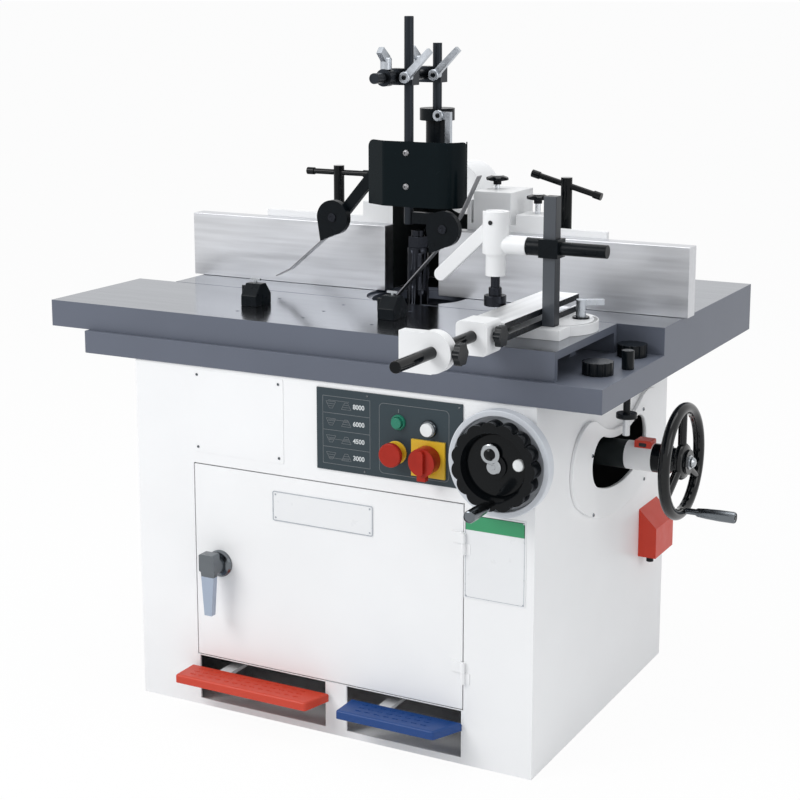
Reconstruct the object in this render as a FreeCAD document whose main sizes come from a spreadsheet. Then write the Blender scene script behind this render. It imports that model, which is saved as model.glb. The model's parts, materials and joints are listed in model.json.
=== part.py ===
import FreeCAD
import Part
import math
import os
import re
import Sketcher
from FreeCAD import Placement, Rotation, Vector

# Spindle moulder: a steel cabinet under a cast table, a tilting spindle that rises and falls,
# a sliding table with a mitre fence, and a fence with a hood, guard and hold-downs.
# Millimetres. X runs to the operator's right, Y to the back, Z up from the floor.

SIZES = {
    # sheet metal cabinet
    "table_height": 850,
    "cab_width": 920,
    "cab_depth": 736,
    "wall": 4,
    "base_plate": 8,
    # door in the front, measured from the middle of the cabinet and from the floor
    "door_left": 315,
    "door_width": 625,
    "door_foot": 116,
    "door_to_panel": 31,
    "door_gap": 2.5,
    "door_skin": 3,
    "door_return": 15,
    "hinge_out": 4.7,
    "hinge_radius": 4.5,
    "hinge_pin": 2.5,
    "hinge_knuckle": 22,
    "hinge_inset": 55,
    "latch_left": 255,
    "latch_up": 210,
    "latch_hub": 18,
    "latch_shaft": 8,
    "latch_lever_width": 27,
    "latch_lever_drop": 100,
    "latch_lever_thick": 14,
    "latch_standoff": 50,
    # openings for the pedals
    "gate_low": 14,
    "gate_high": 112,
    "gate_left": 312,
    "gate_post_left": 2,
    "gate_post_width": 50,
    "gate_right": 308,
    # control panel with its buttons
    "panel_to_tilt": 90,
    "panel_width": 323,
    "panel_drop": 12,
    "panel_height": 167,
    "panel_thick": 3,
    "panel_lap": 14,
    "start_along": 185,
    "start_up": 116,
    "start_radius": 11,
    "button_stem": 11,
    "button_out": 12,
    "button_back": 5,
    "stop_along": 180,
    "stop_up": 55,
    "stop_radius": 24,
    "stop_cap": 12,
    "stop_out": 30,
    "switch_along": 251.5,
    "switch_up": 51,
    "switch_radius": 28,
    "switch_shaft": 6,
    "switch_out": 34,
    "switch_standoff": 6,
    "switch_plate": 73,
    "switch_plate_thick": 5,
    "switch_grip": 18,
    "switch_grip_reach": 37,
    "switch_grip_depth": 14,
    "lamp_along": 252,
    "lamp_up": 111,
    "lamp_radius": 13,
    "lamp_out": 14,
    # pedals on their shaft
    "pedal_shaft": 10,
    "pedal_in": 188,
    "pedal_z": 88,
    "pedal_hub": 18,
    "pedal_hub_length": 70,
    "tread_out": 74,
    "tread_gap": 8,
    "tread_thick": 4,
    "tread_lip": 18,
    "tread_top": 92,
    "strap_width": 28,
    "strap_thick": 8,
    "brake_left": 326,
    "brake_length": 336,
    "brake_slant": 17,
    "brake_strap": 246,
    "lock_left": 64,
    "lock_length": 249,
    "lock_slant": 30,
    "lock_strap": 138,
    # tilt handwheel on the front
    "tilt_in": 62,
    "tilt_drop": 215,
    "tilt_housing_radius": 104,
    "tilt_neck_radius": 88,
    "tilt_neck_depth": 6,
    "tilt_housing_depth": 36,
    "tilt_dish_radius": 92,
    "tilt_dish_depth": 14,
    "tilt_shaft": 12,
    "tilt_wheel_radius": 86,
    "tilt_wheel_back": 31,
    "tilt_wheel_depth": 30,
    "tilt_rim": 20,
    "tilt_web": 8,
    "tilt_hub": 24,
    "tilt_lobe": 20,
    "tilt_lobes": 15,
    "tilt_crank": 68,
    "crank_pin": 4,
    "grip_radius": 12,
    "grip_length": 100,
    # arc slot in the right side, centred on the tilt axis
    "slot_radius": 308,
    "slot_half": 52,
    "slot_swing": 20,
    "slot_hole_half": 60,
    "cover_radius": 330,
    "cover_half": 92,
    "cover_swing": 31,
    "cover_thick": 8,
    # terminal box on the right side
    "box_depth": 41,
    "box_in": 163,
    "box_width": 113,
    "box_drop": 567,
    "box_height": 108,
    "box_slope": 40,
    "gland_radius": 8,
    "gland_drop": 14,
    "gland_in": 22,
    # main table, its front ledge and the sliding table
    "table_overhang": 130,
    "table_front": 36,
    "table_behind": 184,
    "table_slab": 105,
    "table_skin": 24,
    "table_rib": 16,
    "bay_left": 212,
    "bay_right": 188,
    "bore_radius": 100,
    "rebate_radius": 112,
    "rebate_depth": 6,
    "ledge_out": 4,
    "ledge_slab": 48,
    "rail_y": 120,
    "rail_half": 20,
    "rail_height": 24,
    "rail_short": 160,
    "slide_over": 98,
    "slide_to_knob": 14,
    "slide_front": 358,
    "slide_back": 40,
    "slide_skin": 16,
    "slide_wall": 14,
    "runner_length": 420,
    "runner_width": 64,
    "runner_gap": 0.5,
    "tapped_radius": 4,
    "tapped_first_x": 258,
    "tapped_step_x": 160,
    "tapped_first_y": 282,
    "tapped_step_y": 82.5,
    "knob_radius": 30,
    "knob_height": 25,
    "knob_scallop": 4,
    "knob_stud": 5,
    "knob_stud_depth": 20,
    "knob_in": 56,
    "knob_front_in": 119,
    "knob_back_y": 68,
    "pin_in": 21,
    "pin_y": 185,
    "pin_head": 12,
    "pin_head_height": 37,
    "pin_shaft": 7,
    "pin_drop": 131,
    "pin_collar": 20.5,
    "pin_collar_drop": 153,
    "pin_collar_thick": 10,
    # clearances
    "seat_gap": 0.3,
    "run_gap": 0.06,
    # tilting spindle unit
    "spindle_left": 12,
    "spindle_back": 60,
    "guide_inner_radius": 180,
    "guide_outer_radius": 210,
    "guide_swing": 34,
    "guide_thick": 24,
    "guide_lug": 30,
    "guide_lug_drop": 174,
    "cheek_out": 154,
    "cheek_thick": 14,
    "cheek_front": 15,
    "cheek_back": 156,
    "cheek_drop": 135,
    "cheek_left_drop": 238,
    "cheek_right_drop": 350,
    "shoe_depth": 15,
    "shoe_swing": 10,
    "beam_front": 114,
    "beam_drop": 160,
    "tie_drop": 472,
    "tie_thick": 24,
    "column_radius": 15,
    "column_spread": 80,
    "column_y": 135,
    "screw_radius": 10,
    "quill_radius": 52,
    "quill_drop": 370,
    "quill_below": 60,
    "saddle_half": 108,
    "saddle_front": 95,
    "saddle_back": 165,
    "saddle_drop": 330,
    "saddle_height": 140,
    "motor_plate": 20,
    "motor_plate_drop": 350,
    "motor_plate_margin": 5,
    "motor_plate_right": 204,
    "motor_neck_half": 48,
    "motor_left": 290,
    "motor_radius": 85,
    "motor_height": 160,
    "motor_foot_radius": 68,
    "motor_foot_height": 14,
    "journal_radius": 17.5,
    "journal_drop": 420,
    "arbor_flange": 30,
    "arbor_flange_height": 12,
    "arbor_radius": 15,
    "arbor_rise": 145,
    "ring_radius": 23.5,
    "ring_height": 26,
    "nut_radius": 24,
    "nut_height": 24,
    "belt_drop": 407,
    "belt_height": 22,
    "belt_thick": 5,
    "pulley_flange": 8,
    "pulley_flange_thick": 4,
    "spindle_pulley": 38,
    "motor_pulley": 57,
    "motor_shaft": 12,
    "motor_shaft_up": 28,
    # height drive on the right side
    "tube_y": 40,
    "tube_drop": 290,
    "tube_radius": 30,
    "tube_flange": 46,
    "tube_flange_thick": 12,
    "tube_out": 125,
    "drive_shaft": 10,
    "wheel_radius": 110,
    "wheel_rim": 12,
    "wheel_out": 23,
    "wheel_hub": 26,
    "wheel_hub_length": 40,
    "wheel_spoke": 9,
    "wheel_crank": 104,
    # fence with its hood
    "fence_y": 76,
    "fence_thick": 40,
    "fence_height": 146,
    "fence_left_out": 614,
    "fence_left_in": 102,
    "fence_right_in": 30,
    "fence_right_out": 600,
    "carrier_thick": 13,
    "carrier_low": 6,
    "carrier_height": 160,
    "carrier_left": 434,
    "carrier_right": 404,
    "hood_left": 112,
    "hood_right": 88,
    "hood_back": 300,
    "hood_rise": 210,
    "hood_wall": 8,
    "shelf_front": 66,
    "shelf_left": 40,
    "shelf_right": 68,
    "shelf_thick": 16,
    "spigot_rise": 212,
    "spigot_radius": 62.5,
    "spigot_wall": 4,
    "spigot_boss": 66,
    "spigot_front": 240,
    "spigot_end": 345,
    "foot_front": 150,
    "foot_back": 262,
    "foot_thick": 22,
    "foot_left": 340,
    "foot_right": 310,
    "ear_reach": 180,
    "ear_back": 200,
    "ear_foot": 150,
    "ear_rise": 193,
    "block_left": 95,
    "block_width": 88,
    "block_back": 236,
    "block_foot": 142,
    "block_rise": 230,
    "pad_left": 196,
    "pad_width": 66,
    "pad_back": 190,
    "pad_foot": 150,
    "pad_rise": 184,
    "handle_left_x": 302,
    "handle_right_x": 269,
    "handle_y": 220,
    "handle_post": 12.5,
    "handle_height": 236,
    "handle_bar": 6.5,
    "handle_bar_half": 84,
    "handle_end": 8.5,
    "handle_end_length": 18,
    "handle_pin": 6,
    "handle_pin_depth": 14,
    "star_radius": 25,
    "star_height": 20,
    "star_scallop": 8,
    "star_stem": 6,
    "star_block_x": 122,
    "star_block_y": 180,
    "star_block_lift": 10,
    "star_pad_x": 228,
    "star_pad_y": 160,
    "star_pad_lift": 22,
    # guard over the spindle
    "mast_x": 14,
    "mast_y": 100,
    "mast_radius": 10,
    "mast_foot": 260,
    "mast_rise": 547,
    "sleeve_radius": 24.5,
    "sleeve_flange": 38,
    "sleeve_flange_rise": 382,
    "sleeve_rise": 408,
    "bar_x": 10,
    "bar_rise": 480,
    "bar_radius": 11,
    "bar_front": 140,
    "bar_back": 150,
    "clamp_side_left": 26,
    "clamp_side_right": 30,
    "clamp_half_depth": 16,
    "clamp_half_height": 17,
    "collar_radius": 18,
    "collar_front": 100,
    "collar_length": 24,
    "lever_stud": 8,
    "lever_stud_out": 12,
    "grip_half": 6,
    "grip_thick": 11,
    "grip_run": 56,
    "grip_rise": 56,
    "lever_x": 24,
    "stud_y": 88,
    "stud_back_y": 49,
    "stud_rise": 38,
    "stud_grip_run": 25,
    "stud_grip_rise": 19,
    "sleeve_lever_in": 27,
    "sleeve_lever_run": 22,
    "sleeve_lever_drop": 62,
    "post_y": 32,
    "post_foot": 170,
    "post_rise": 605,
    "shield_y": 45,
    "shield_thick": 3,
    "shield_foot": 208,
    "shield_rise": 346,
    "shield_flat_left": 41,
    "shield_flat_right": 86,
    "shield_left_reach": 90,
    "shield_left_back": 25,
    "shield_right_reach": 131,
    "shield_right_back": 54,
    "shield_corner": 17,
    # hold-downs with spring strips
    "shoe_thick": 16,
    "shoe_round": 38,
    "left_shoe_x": 176,
    "left_shoe_rise": 172,
    "left_shoe_front": 30,
    "right_shoe_x": 104,
    "right_shoe_rise": 167,
    "right_shoe_front": 54,
    "shoe_tip_out": 30,
    "shoe_tip_down": 53,
    "arm_height": 24,
    "arm_rise": 262,
    "arm_thick": 14,
    "strip_width": 20,
    "strip_thick": 2.5,
    "strip_seat": 22,
    "strip_lift": 6,
    "strip_left_run": 90,
    "strip_left_fall": 70,
    "strip_left_tip_run": 126,
    "strip_left_tip_fall": 88,
    "strip_right_end_run": 72,
    "strip_right_end_rise": 114,
    "strip_right_bend_run": 30,
    "strip_right_bend_rise": 28,
    "strip_right_run": 94,
    "strip_right_fall": 104,
    # stops and the mitre fence on the sliding table
    "block_x_left": 268,
    "block_x_right": 62,
    "block_y": 195,
    "block_wide": 38,
    "block_deep": 60,
    "block_tall": 46,
    "block_face": 22,
    "mitre_x": 398,
    "mitre_y": 145,
    "mitre_radius": 88,
    "mitre_thick": 20,
    "mitre_tongue_left": 340,
    "mitre_tongue_right": 458,
    "mitre_tongue_front": 262,
    "beam_left": 331,
    "beam_right": 409,
    "beam_start": 405,
    "beam_end": 44,
    "beam_height": 35,
    "beam_wall": 6,
    "beam_slot": 11,
    "end_left": 338,
    "end_right": 402,
    "end_front": 465,
    "end_foot": 2,
    "end_rise": 65,
    "rod_x": 370,
    "rod_rise": 37.5,
    "rod_radius": 11,
    "rod_front": 760,
    "rod_back": 300,
    "plate_front": 626,
    "plate_thick": 24,
    "plate_left": 306,
    "plate_drop": 2,
    "plate_rise": 72,
    "plate_round": 38,
    "wing_radius": 18,
    "wing_width": 15,
    "wing_thick": 8,
    "wing_hub": 8,
    "wing_out": 18,
    "lock_across": 47,
    "lock_back": 24,
    "lock_stud": 10,
    "lock_rise": 38,
    "lock_washer": 17,
    "lock_washer_thick": 4,
    "lock_arm": 45,
    "lock_arm_width": 13,
    "lock_arm_thick": 11,
    # clamp on the mitre fence
    "clamp_post": 26,
    "clamp_y": 220,
    "clamp_post_rise": 272,
    "clamp_rise": 172,
    "clamp_block_half": 20,
    "clamp_block_height": 36,
    "clamp_bar": 13,
    "clamp_bar_end": 536,
    "clamp_collar": 17,
    "clamp_collar_left": 372,
    "clamp_x": 304,
    "clamp_body": 26,
    "clamp_foot": 110,
    "clamp_top_rise": 236,
    "clamp_fork": 14,
    "clamp_fork_rise": 166,
    "clamp_neck": 18,
    "stem_radius": 9,
    "stem_rise": 150,
    "stem_bore_depth": 53,
    "foot_radius": 22,
    "foot_rise": 50,
    "foot_top_rise": 71,
    "lever_rise": 216,
    "lever_hub": 15,
    "lever_thick": 13,
    "lever_reach": 118,
    "lever_drop": 112,
    "lever_width": 27,
}

# Places that follow from the sizes: heights from the table top, ends from the cabinet's walls.
PLACES = {
    "tilt_x": "cab_width/2 - tilt_in",
    "panel_foot": "table_height - table_slab - panel_drop - panel_height",
    "table_length": "cab_width + 2*table_overhang",
    "tube_end": "cab_width/2 + tube_out",
    "door_height": "panel_foot - door_to_panel - door_foot",
    "latch_height": "door_foot + latch_up",
    "panel_left": "panel_width + panel_to_tilt - tilt_x",
    "start_x": "start_along - panel_left",
    "start_z": "panel_foot + start_up",
    "stop_x": "stop_along - panel_left",
    "stop_z": "panel_foot + stop_up",
    "switch_x": "switch_along - panel_left",
    "switch_z": "panel_foot + switch_up",
    "lamp_x": "lamp_along - panel_left",
    "lamp_z": "panel_foot + lamp_up",
    "pedal_y": "cab_depth/2 - pedal_in",
    "tread_front": "cab_depth/2 + tread_out",
    "tread_back": "cab_depth/2 + tread_gap",
    "tilt_z": "table_height - tilt_drop",
    "box_y": "cab_depth/2 - box_in",
    "box_low": "table_height - box_drop",
    "table_back": "cab_depth/2 + table_behind",
    "ledge_front": "cab_depth/2 + ledge_out",
    "knob_x": "table_length/2 - knob_in",
    "knob_front_y": "ledge_front - knob_front_in",
    "slide_left": "table_length/2 + slide_over",
    "slide_length": "slide_left + knob_x - knob_radius - slide_to_knob",
    "pin_x": "table_length/2 - pin_in",
    "pin_collar_low": "table_height - pin_collar_drop",
    "guide_lug_low": "table_height - guide_lug_drop",
    "cheek_top": "table_height - cheek_drop",
    "cheek_left_low": "table_height - cheek_left_drop",
    "cheek_right_low": "table_height - cheek_right_drop",
    "beam_low": "table_height - beam_drop",
    "tie_low": "table_height - tie_drop",
    "quill_low": "table_height - quill_drop",
    "quill_top": "table_height - quill_below",
    "saddle_low": "table_height - saddle_drop",
    "motor_plate_low": "table_height - motor_plate_drop",
    "motor_plate_left": "motor_left + motor_radius + motor_plate_margin",
    "journal_low": "table_height - journal_drop",
    "arbor_top": "table_height + arbor_rise",
    "belt_low": "table_height - belt_drop",
    "tube_z": "table_height - tube_drop",
    "wheel_x": "tube_end + wheel_out",
    "hood_top": "table_height + hood_rise",
    "spigot_z": "table_height + spigot_rise",
    "ear_low": "table_height + ear_foot",
    "ear_top": "table_height + ear_rise",
    "block_low": "table_height + block_foot",
    "block_top": "table_height + block_rise",
    "pad_low": "table_height + pad_foot",
    "pad_top": "table_height + pad_rise",
    "mast_low": "table_height + mast_foot",
    "mast_top": "table_height + mast_rise",
    "sleeve_flange_low": "table_height + sleeve_flange_rise",
    "sleeve_top": "table_height + sleeve_rise",
    "bar_z": "table_height + bar_rise",
    "post_low": "table_height + post_foot",
    "post_top": "table_height + post_rise",
    "shield_low": "table_height + shield_foot",
    "shield_top": "table_height + shield_rise",
    "left_shoe_z": "table_height + left_shoe_rise",
    "right_shoe_z": "table_height + right_shoe_rise",
    "arm_z": "table_height + arm_rise",
    "end_low": "table_height + end_foot",
    "end_top": "table_height + end_rise",
    "rod_z": "table_height + rod_rise",
    "plate_low": "table_height - plate_drop",
    "plate_top": "table_height + plate_rise",
    "clamp_post_top": "table_height + clamp_post_rise",
    "clamp_z": "table_height + clamp_rise",
    "clamp_low": "table_height + clamp_foot",
    "clamp_top": "table_height + clamp_top_rise",
    "clamp_fork_low": "table_height + clamp_fork_rise",
    "stem_top": "table_height + stem_rise",
    "foot_low": "table_height + foot_rise",
    "foot_high": "table_height + foot_top_rise",
    "lever_z": "table_height + lever_rise",
}

ALONG_X = Rotation(Vector(0, 1, 0), 90)
ALONG_Y = Rotation(Vector(1, 0, 0), -90)
TO_FRONT = Rotation(Vector(1, 0, 0), 90)
FACING_X = Rotation(Vector(0, 1, 0), Vector(0, 0, 1), Vector(1, 0, 0))

document = FreeCAD.newDocument("spindle_moulder")
dims = document.addObject("Spreadsheet::Sheet", "Dims")
formulas = {name: "=" + formula for name, formula in PLACES.items()}
for row, (alias, value) in enumerate({**SIZES, **formulas}.items(), start=1):
    dims.set("A%d" % row, alias)
    dims.set("B%d" % row, str(value))
    dims.setAlias("B%d" % row, alias)
document.recompute()

pieces = []


def link(text):
    """A formula with every named size pointing at its cell."""
    def cell(match):
        word = match.group(0)
        return "Dims." + word if word in SIZES or word in PLACES else word
    return re.sub(r"[a-z_]+", cell, str(text))


def amount(word):
    """One number or one named size as it stands in the sheet."""
    word = word.strip()
    return float(dims.get(word)) if word in SIZES or word in PLACES else float(word)


def number(text):
    """The value of a formula made of sums and products."""
    total = 0.0
    for sign, term in re.findall(r"([+-]?)\s*([^+-]+)", str(text)):
        factors = re.split(r"([*/])", term)
        value = amount(factors[0])
        for mark, factor in zip(factors[1::2], factors[2::2]):
            value = value * amount(factor) if mark == "*" else value / amount(factor)
        total += -value if sign == "-" else value
    return total


def place(solid, spot, turn=None):
    if turn is not None:
        solid.Placement = Placement(Vector(), turn)
    for axis, formula in zip("xyz", spot):
        solid.setExpression("Placement.Base." + axis, link(formula))
    return solid


def box(name, size, corner):
    solid = document.addObject("Part::Box", name)
    for side, formula in zip(("Length", "Width", "Height"), size):
        solid.setExpression(side, link(formula))
    return place(solid, corner)


def span(name, low, high):
    """A box between two corners, each given as three formulas."""
    sides = []
    for start, end in zip(low, high):
        flipped = re.sub(r"[+-]", lambda sign: "-" if sign.group(0) == "+" else "+", str(start))
        flipped = flipped.strip()
        sides.append("%s %s" % (end, flipped if flipped[0] in "+-" else "- " + flipped))
    return box(name, sides, low)


def cylinder(name, radius, length, spot, turn=None):
    solid = document.addObject("Part::Cylinder", name)
    solid.setExpression("Radius", link(radius))
    solid.setExpression("Height", link(length))
    return place(solid, spot, turn)


def cut(name, base, tools):
    for step, tool in enumerate(tools):
        result = document.addObject("Part::Cut", "%s_cut_%d" % (name, step))
        result.Base = base
        result.Tool = tool
        base = result
    return base


def fuse(name, shapes):
    result = document.addObject("Part::MultiFuse", name + "_joined")
    result.Shapes = shapes
    result.Refine = True
    return result


def group(name, members):
    result = document.addObject("Part::Compound", name + "_group")
    result.Links = members
    return result


def shaped(name, shape, spot=("0", "0", "0"), turn=None):
    """A solid drawn with arcs and rows of cuts that its own placement carries into position."""
    solid = document.addObject("Part::Feature", name)
    solid.Shape = shape
    return place(solid, spot, turn)


def profile(name, points, depth, spot, turn):
    """A sketched outline with every corner driven by the sheet, padded to a depth."""
    body = document.addObject("PartDesign::Body", name + "_body")
    sketch = body.newObject("Sketcher::SketchObject", name + "_outline")
    planes = [item for item in body.Origin.OriginFeatures if item.Role == "XY_Plane"]
    sketch.AttachmentSupport = (planes[0], [""])
    sketch.MapMode = "FlatFace"
    corners = [Vector(number(x), number(y), 0) for x, y in points]
    count = len(corners)
    for index in range(count):
        line = Part.LineSegment(corners[index], corners[(index + 1) % count])
        sketch.addGeometry(line, False)
    for index in range(count):
        joined = Sketcher.Constraint("Coincident", index, 2, (index + 1) % count, 1)
        sketch.addConstraint(joined)
    for index, (x, y) in enumerate(points):
        for kind, formula, value in (("DistanceX", x, corners[index].x),
                                     ("DistanceY", y, corners[index].y)):
            mark = sketch.addConstraint(Sketcher.Constraint(kind, -1, 1, index, 1, value))
            label = "%s_%d" % (kind[-1].lower() + "_corner", index)
            sketch.renameConstraint(mark, label)
            sketch.setExpression("Constraints." + label, link(formula))
    pad = body.newObject("PartDesign::Pad", name + "_pad")
    pad.Profile = sketch
    pad.setExpression("Length", link(depth))
    sketch.Visibility = False
    return place(body, spot, turn)


def keep(label, solid):
    """Names a finished piece for the list of files."""
    solid.Label = label
    pieces.append((label, solid))
    return solid


def sector(inner, outer, swing, depth, lift=0.0):
    """A block bent round the X axis, hanging straight down, with square ends."""
    ends = [math.radians(-90 - swing), math.radians(-90 + swing)]

    def at(radius, angle):
        return Vector(lift, radius * math.cos(angle), radius * math.sin(angle))
    middle = math.radians(-90)
    edges = [
        Part.Arc(at(outer, ends[0]), at(outer, middle), at(outer, ends[1])).toShape(),
        Part.LineSegment(at(outer, ends[1]), at(inner, ends[1])).toShape(),
        Part.Arc(at(inner, ends[1]), at(inner, middle), at(inner, ends[0])).toShape(),
        Part.LineSegment(at(inner, ends[0]), at(outer, ends[0])).toShape(),
    ]
    return Part.Face(Part.Wire(edges)).extrude(Vector(depth, 0, 0))


def bent_slot(radius, half, swing, depth):
    """A bent slot with round ends, curved about the X axis and cut along it."""
    shape = sector(radius - half, radius + half, swing, depth)
    for side in (-1, 1):
        angle = math.radians(-90 + side * swing)
        centre = Vector(0, radius * math.cos(angle), radius * math.sin(angle))
        shape = shape.fuse(Part.makeCylinder(half, depth, centre, Vector(1, 0, 0)))
    return shape.removeSplitter()


def scalloped(solid, radius, lobes, bite, depth, start=0.0):
    """Round cuts in even steps round the Z axis that leave lobes between them."""
    cuts = []
    for step in range(lobes):
        angle = 2 * math.pi * (step + 0.5) / lobes + start
        centre = Vector(radius * math.cos(angle), radius * math.sin(angle), -1)
        cuts.append(Part.makeCylinder(bite, depth + 2, centre))
    return solid.cut(cuts)


def lobed_rod(radius, lobes, lobe, length):
    """A rod along Z whose outline is a ring of round lobes that reach out to the radius."""
    ring = radius - lobe
    rods = []
    for step in range(lobes):
        angle = 2 * math.pi * step / lobes
        centre = Vector(ring * math.cos(angle), ring * math.sin(angle), 0)
        rods.append(Part.makeCylinder(lobe, length, centre))
    return Part.makeCylinder(ring, length).fuse(rods).removeSplitter()


def turned(points):
    """A solid of revolution about Z from radius and height pairs."""
    corners = [Vector(radius, 0, height) for radius, height in points]
    face = Part.Face(Part.makePolygon(corners + corners[:1]))
    return face.revolve(Vector(), Vector(0, 0, 1), 360)


def bent_sheet(path, thick):
    """The outline of a bent strip of even thickness, to the left of an open path of pairs."""
    def left_of(start, end):
        run = math.hypot(end[0] - start[0], end[1] - start[1])
        return ((start[1] - end[1]) / run, (end[0] - start[0]) / run)

    other_side = []
    last = len(path) - 1
    for index, (across, up) in enumerate(path):
        before = left_of(*path[max(index - 1, 0):][:2]) if index else left_of(path[0], path[1])
        after = left_of(path[index], path[index + 1]) if index < last else before
        share = thick / (1 + before[0] * after[0] + before[1] * after[1])
        other_side.append((across + share * (before[0] + after[0]),
                           up + share * (before[1] + after[1])))
    return path + other_side[::-1]


def slab_between(corners, thickness):
    """A flat solid from a closed row of corners."""
    return Part.Face(Part.makePolygon(corners + corners[:1])).extrude(thickness)


FRONT = "-cab_depth/2"
SIDE = "cab_width/2"
UNDER = "table_height - table_slab"
LEDGE = "table_height - table_slab + ledge_slab"
AXIS_X = "-spindle_left"
AXIS_Y = "spindle_back"
OUTER_HINGE_X = "-door_left + door_width + door_gap"
HINGE_Y = "-cab_depth/2 - hinge_out"


def hinge_barrel(name, foot, radius, length):
    return cylinder(name, radius, length, (OUTER_HINGE_X, HINGE_Y, foot))


def cabinet():
    sheet = box("front_sheet", ("cab_width", "wall", UNDER), ("-cab_width/2", FRONT, "0"))
    door_hole = box("door_hole",
                    ("door_width + 2*door_gap", "4*wall", "door_height + 2*door_gap"),
                    ("-door_left - door_gap", "-cab_depth/2 - wall", "door_foot - door_gap"))
    gate_one = span("gate_one", ("-gate_left", "-cab_depth/2 - wall", "gate_low"),
                    ("-gate_post_left", "-cab_depth/2 + 2*wall", "gate_high"))
    gate_one_right = span("gate_two",
                          ("-gate_post_left + gate_post_width", "-cab_depth/2 - wall", "gate_low"),
                          ("gate_right", "-cab_depth/2 + 2*wall", "gate_high"))
    panel_hole = box("panel_hole",
                     ("panel_width - 2*panel_lap", "4*wall", "panel_height - 2*panel_lap"),
                     ("-panel_left + panel_lap", "-cab_depth/2 - wall", "panel_foot + panel_lap"))
    shaft_hole = cylinder("tilt_shaft_hole", "tilt_shaft + run_gap", "4*wall",
                          ("tilt_x", "-cab_depth/2 - wall", "tilt_z"), ALONG_Y)
    front = cut("front", sheet, [door_hole, gate_one, gate_one_right, panel_hole, shaft_hole])
    parts = [front]
    for tag, foot in (("low", "door_foot + hinge_inset"),
                      ("high", "door_foot + door_height - hinge_inset - 2*hinge_knuckle")):
        leaf = box("leaf_" + tag, ("3*hinge_radius", "wall", "hinge_knuckle"),
                   (OUTER_HINGE_X, "-cab_depth/2 - wall/2", foot))
        barrel = hinge_barrel("frame_barrel_" + tag, foot, "hinge_radius", "hinge_knuckle")
        pin = hinge_barrel("hinge_pin_" + tag, foot, "hinge_pin", "2*hinge_knuckle")
        parts += [leaf, barrel, pin]
    keep("cabinet_front", fuse("cabinet_front", parts))

    keep("cabinet_left", span("cabinet_left", ("-cab_width/2", "-cab_depth/2 + wall", "0"),
                              ("-cab_width/2 + wall", "cab_depth/2 - wall", UNDER)))
    side = span("side_sheet", ("cab_width/2 - wall", "-cab_depth/2 + wall", "0"),
                ("cab_width/2", "cab_depth/2 - wall", UNDER))
    hole = shaped("side_slot", bent_slot(number("slot_radius"), number("slot_hole_half"),
                                         number("slot_swing"), number("4*wall")),
                  ("cab_width/2 - 2*wall", AXIS_Y, "table_height"))
    keep("cabinet_right", cut("cabinet_right", side, [hole]))
    keep("cabinet_back", span("cabinet_back", ("-cab_width/2", "cab_depth/2 - wall", "0"),
                              ("cab_width/2", "cab_depth/2", UNDER)))
    keep("cabinet_base", span("cabinet_base",
                              ("-cab_width/2 + wall", "-cab_depth/2 + wall", "0"),
                              ("cab_width/2 - wall", "cab_depth/2 - wall", "base_plate")))

    plate = bent_slot(number("cover_radius"), number("cover_half"),
                      number("cover_swing"), number("cover_thick"))
    top = number("table_slab")
    room = number("4*cover_radius")
    ceiling = Part.makeBox(4 * top, room, room, Vector(-2 * top, -room / 2, -top - number("seat_gap")))
    plate = plate.cut(ceiling)
    opening = bent_slot(number("slot_radius"), number("slot_half"),
                        number("slot_swing"), number("4*cover_thick"))
    opening.translate(Vector(-number("cover_thick"), 0, 0))
    keep("slot_cover", shaped("slot_cover", plate.cut(opening), (SIDE, AXIS_Y, "table_height")))

    slope = "box_low + box_height - box_slope"
    case = profile("terminal_case",
                   [("0", "box_low"), ("box_depth", "box_low"),
                    ("box_depth", slope), ("0", "box_low + box_height")],
                   "box_width", (SIDE, "box_y + box_width", "0"), TO_FRONT)
    gland = cylinder("cable_gland", "gland_radius", "gland_drop + wall",
                     ("cab_width/2 + box_depth/2", "box_y + gland_in", "box_low - gland_drop"))
    keep("terminal_box", fuse("terminal_box", [case, gland]))


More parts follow.
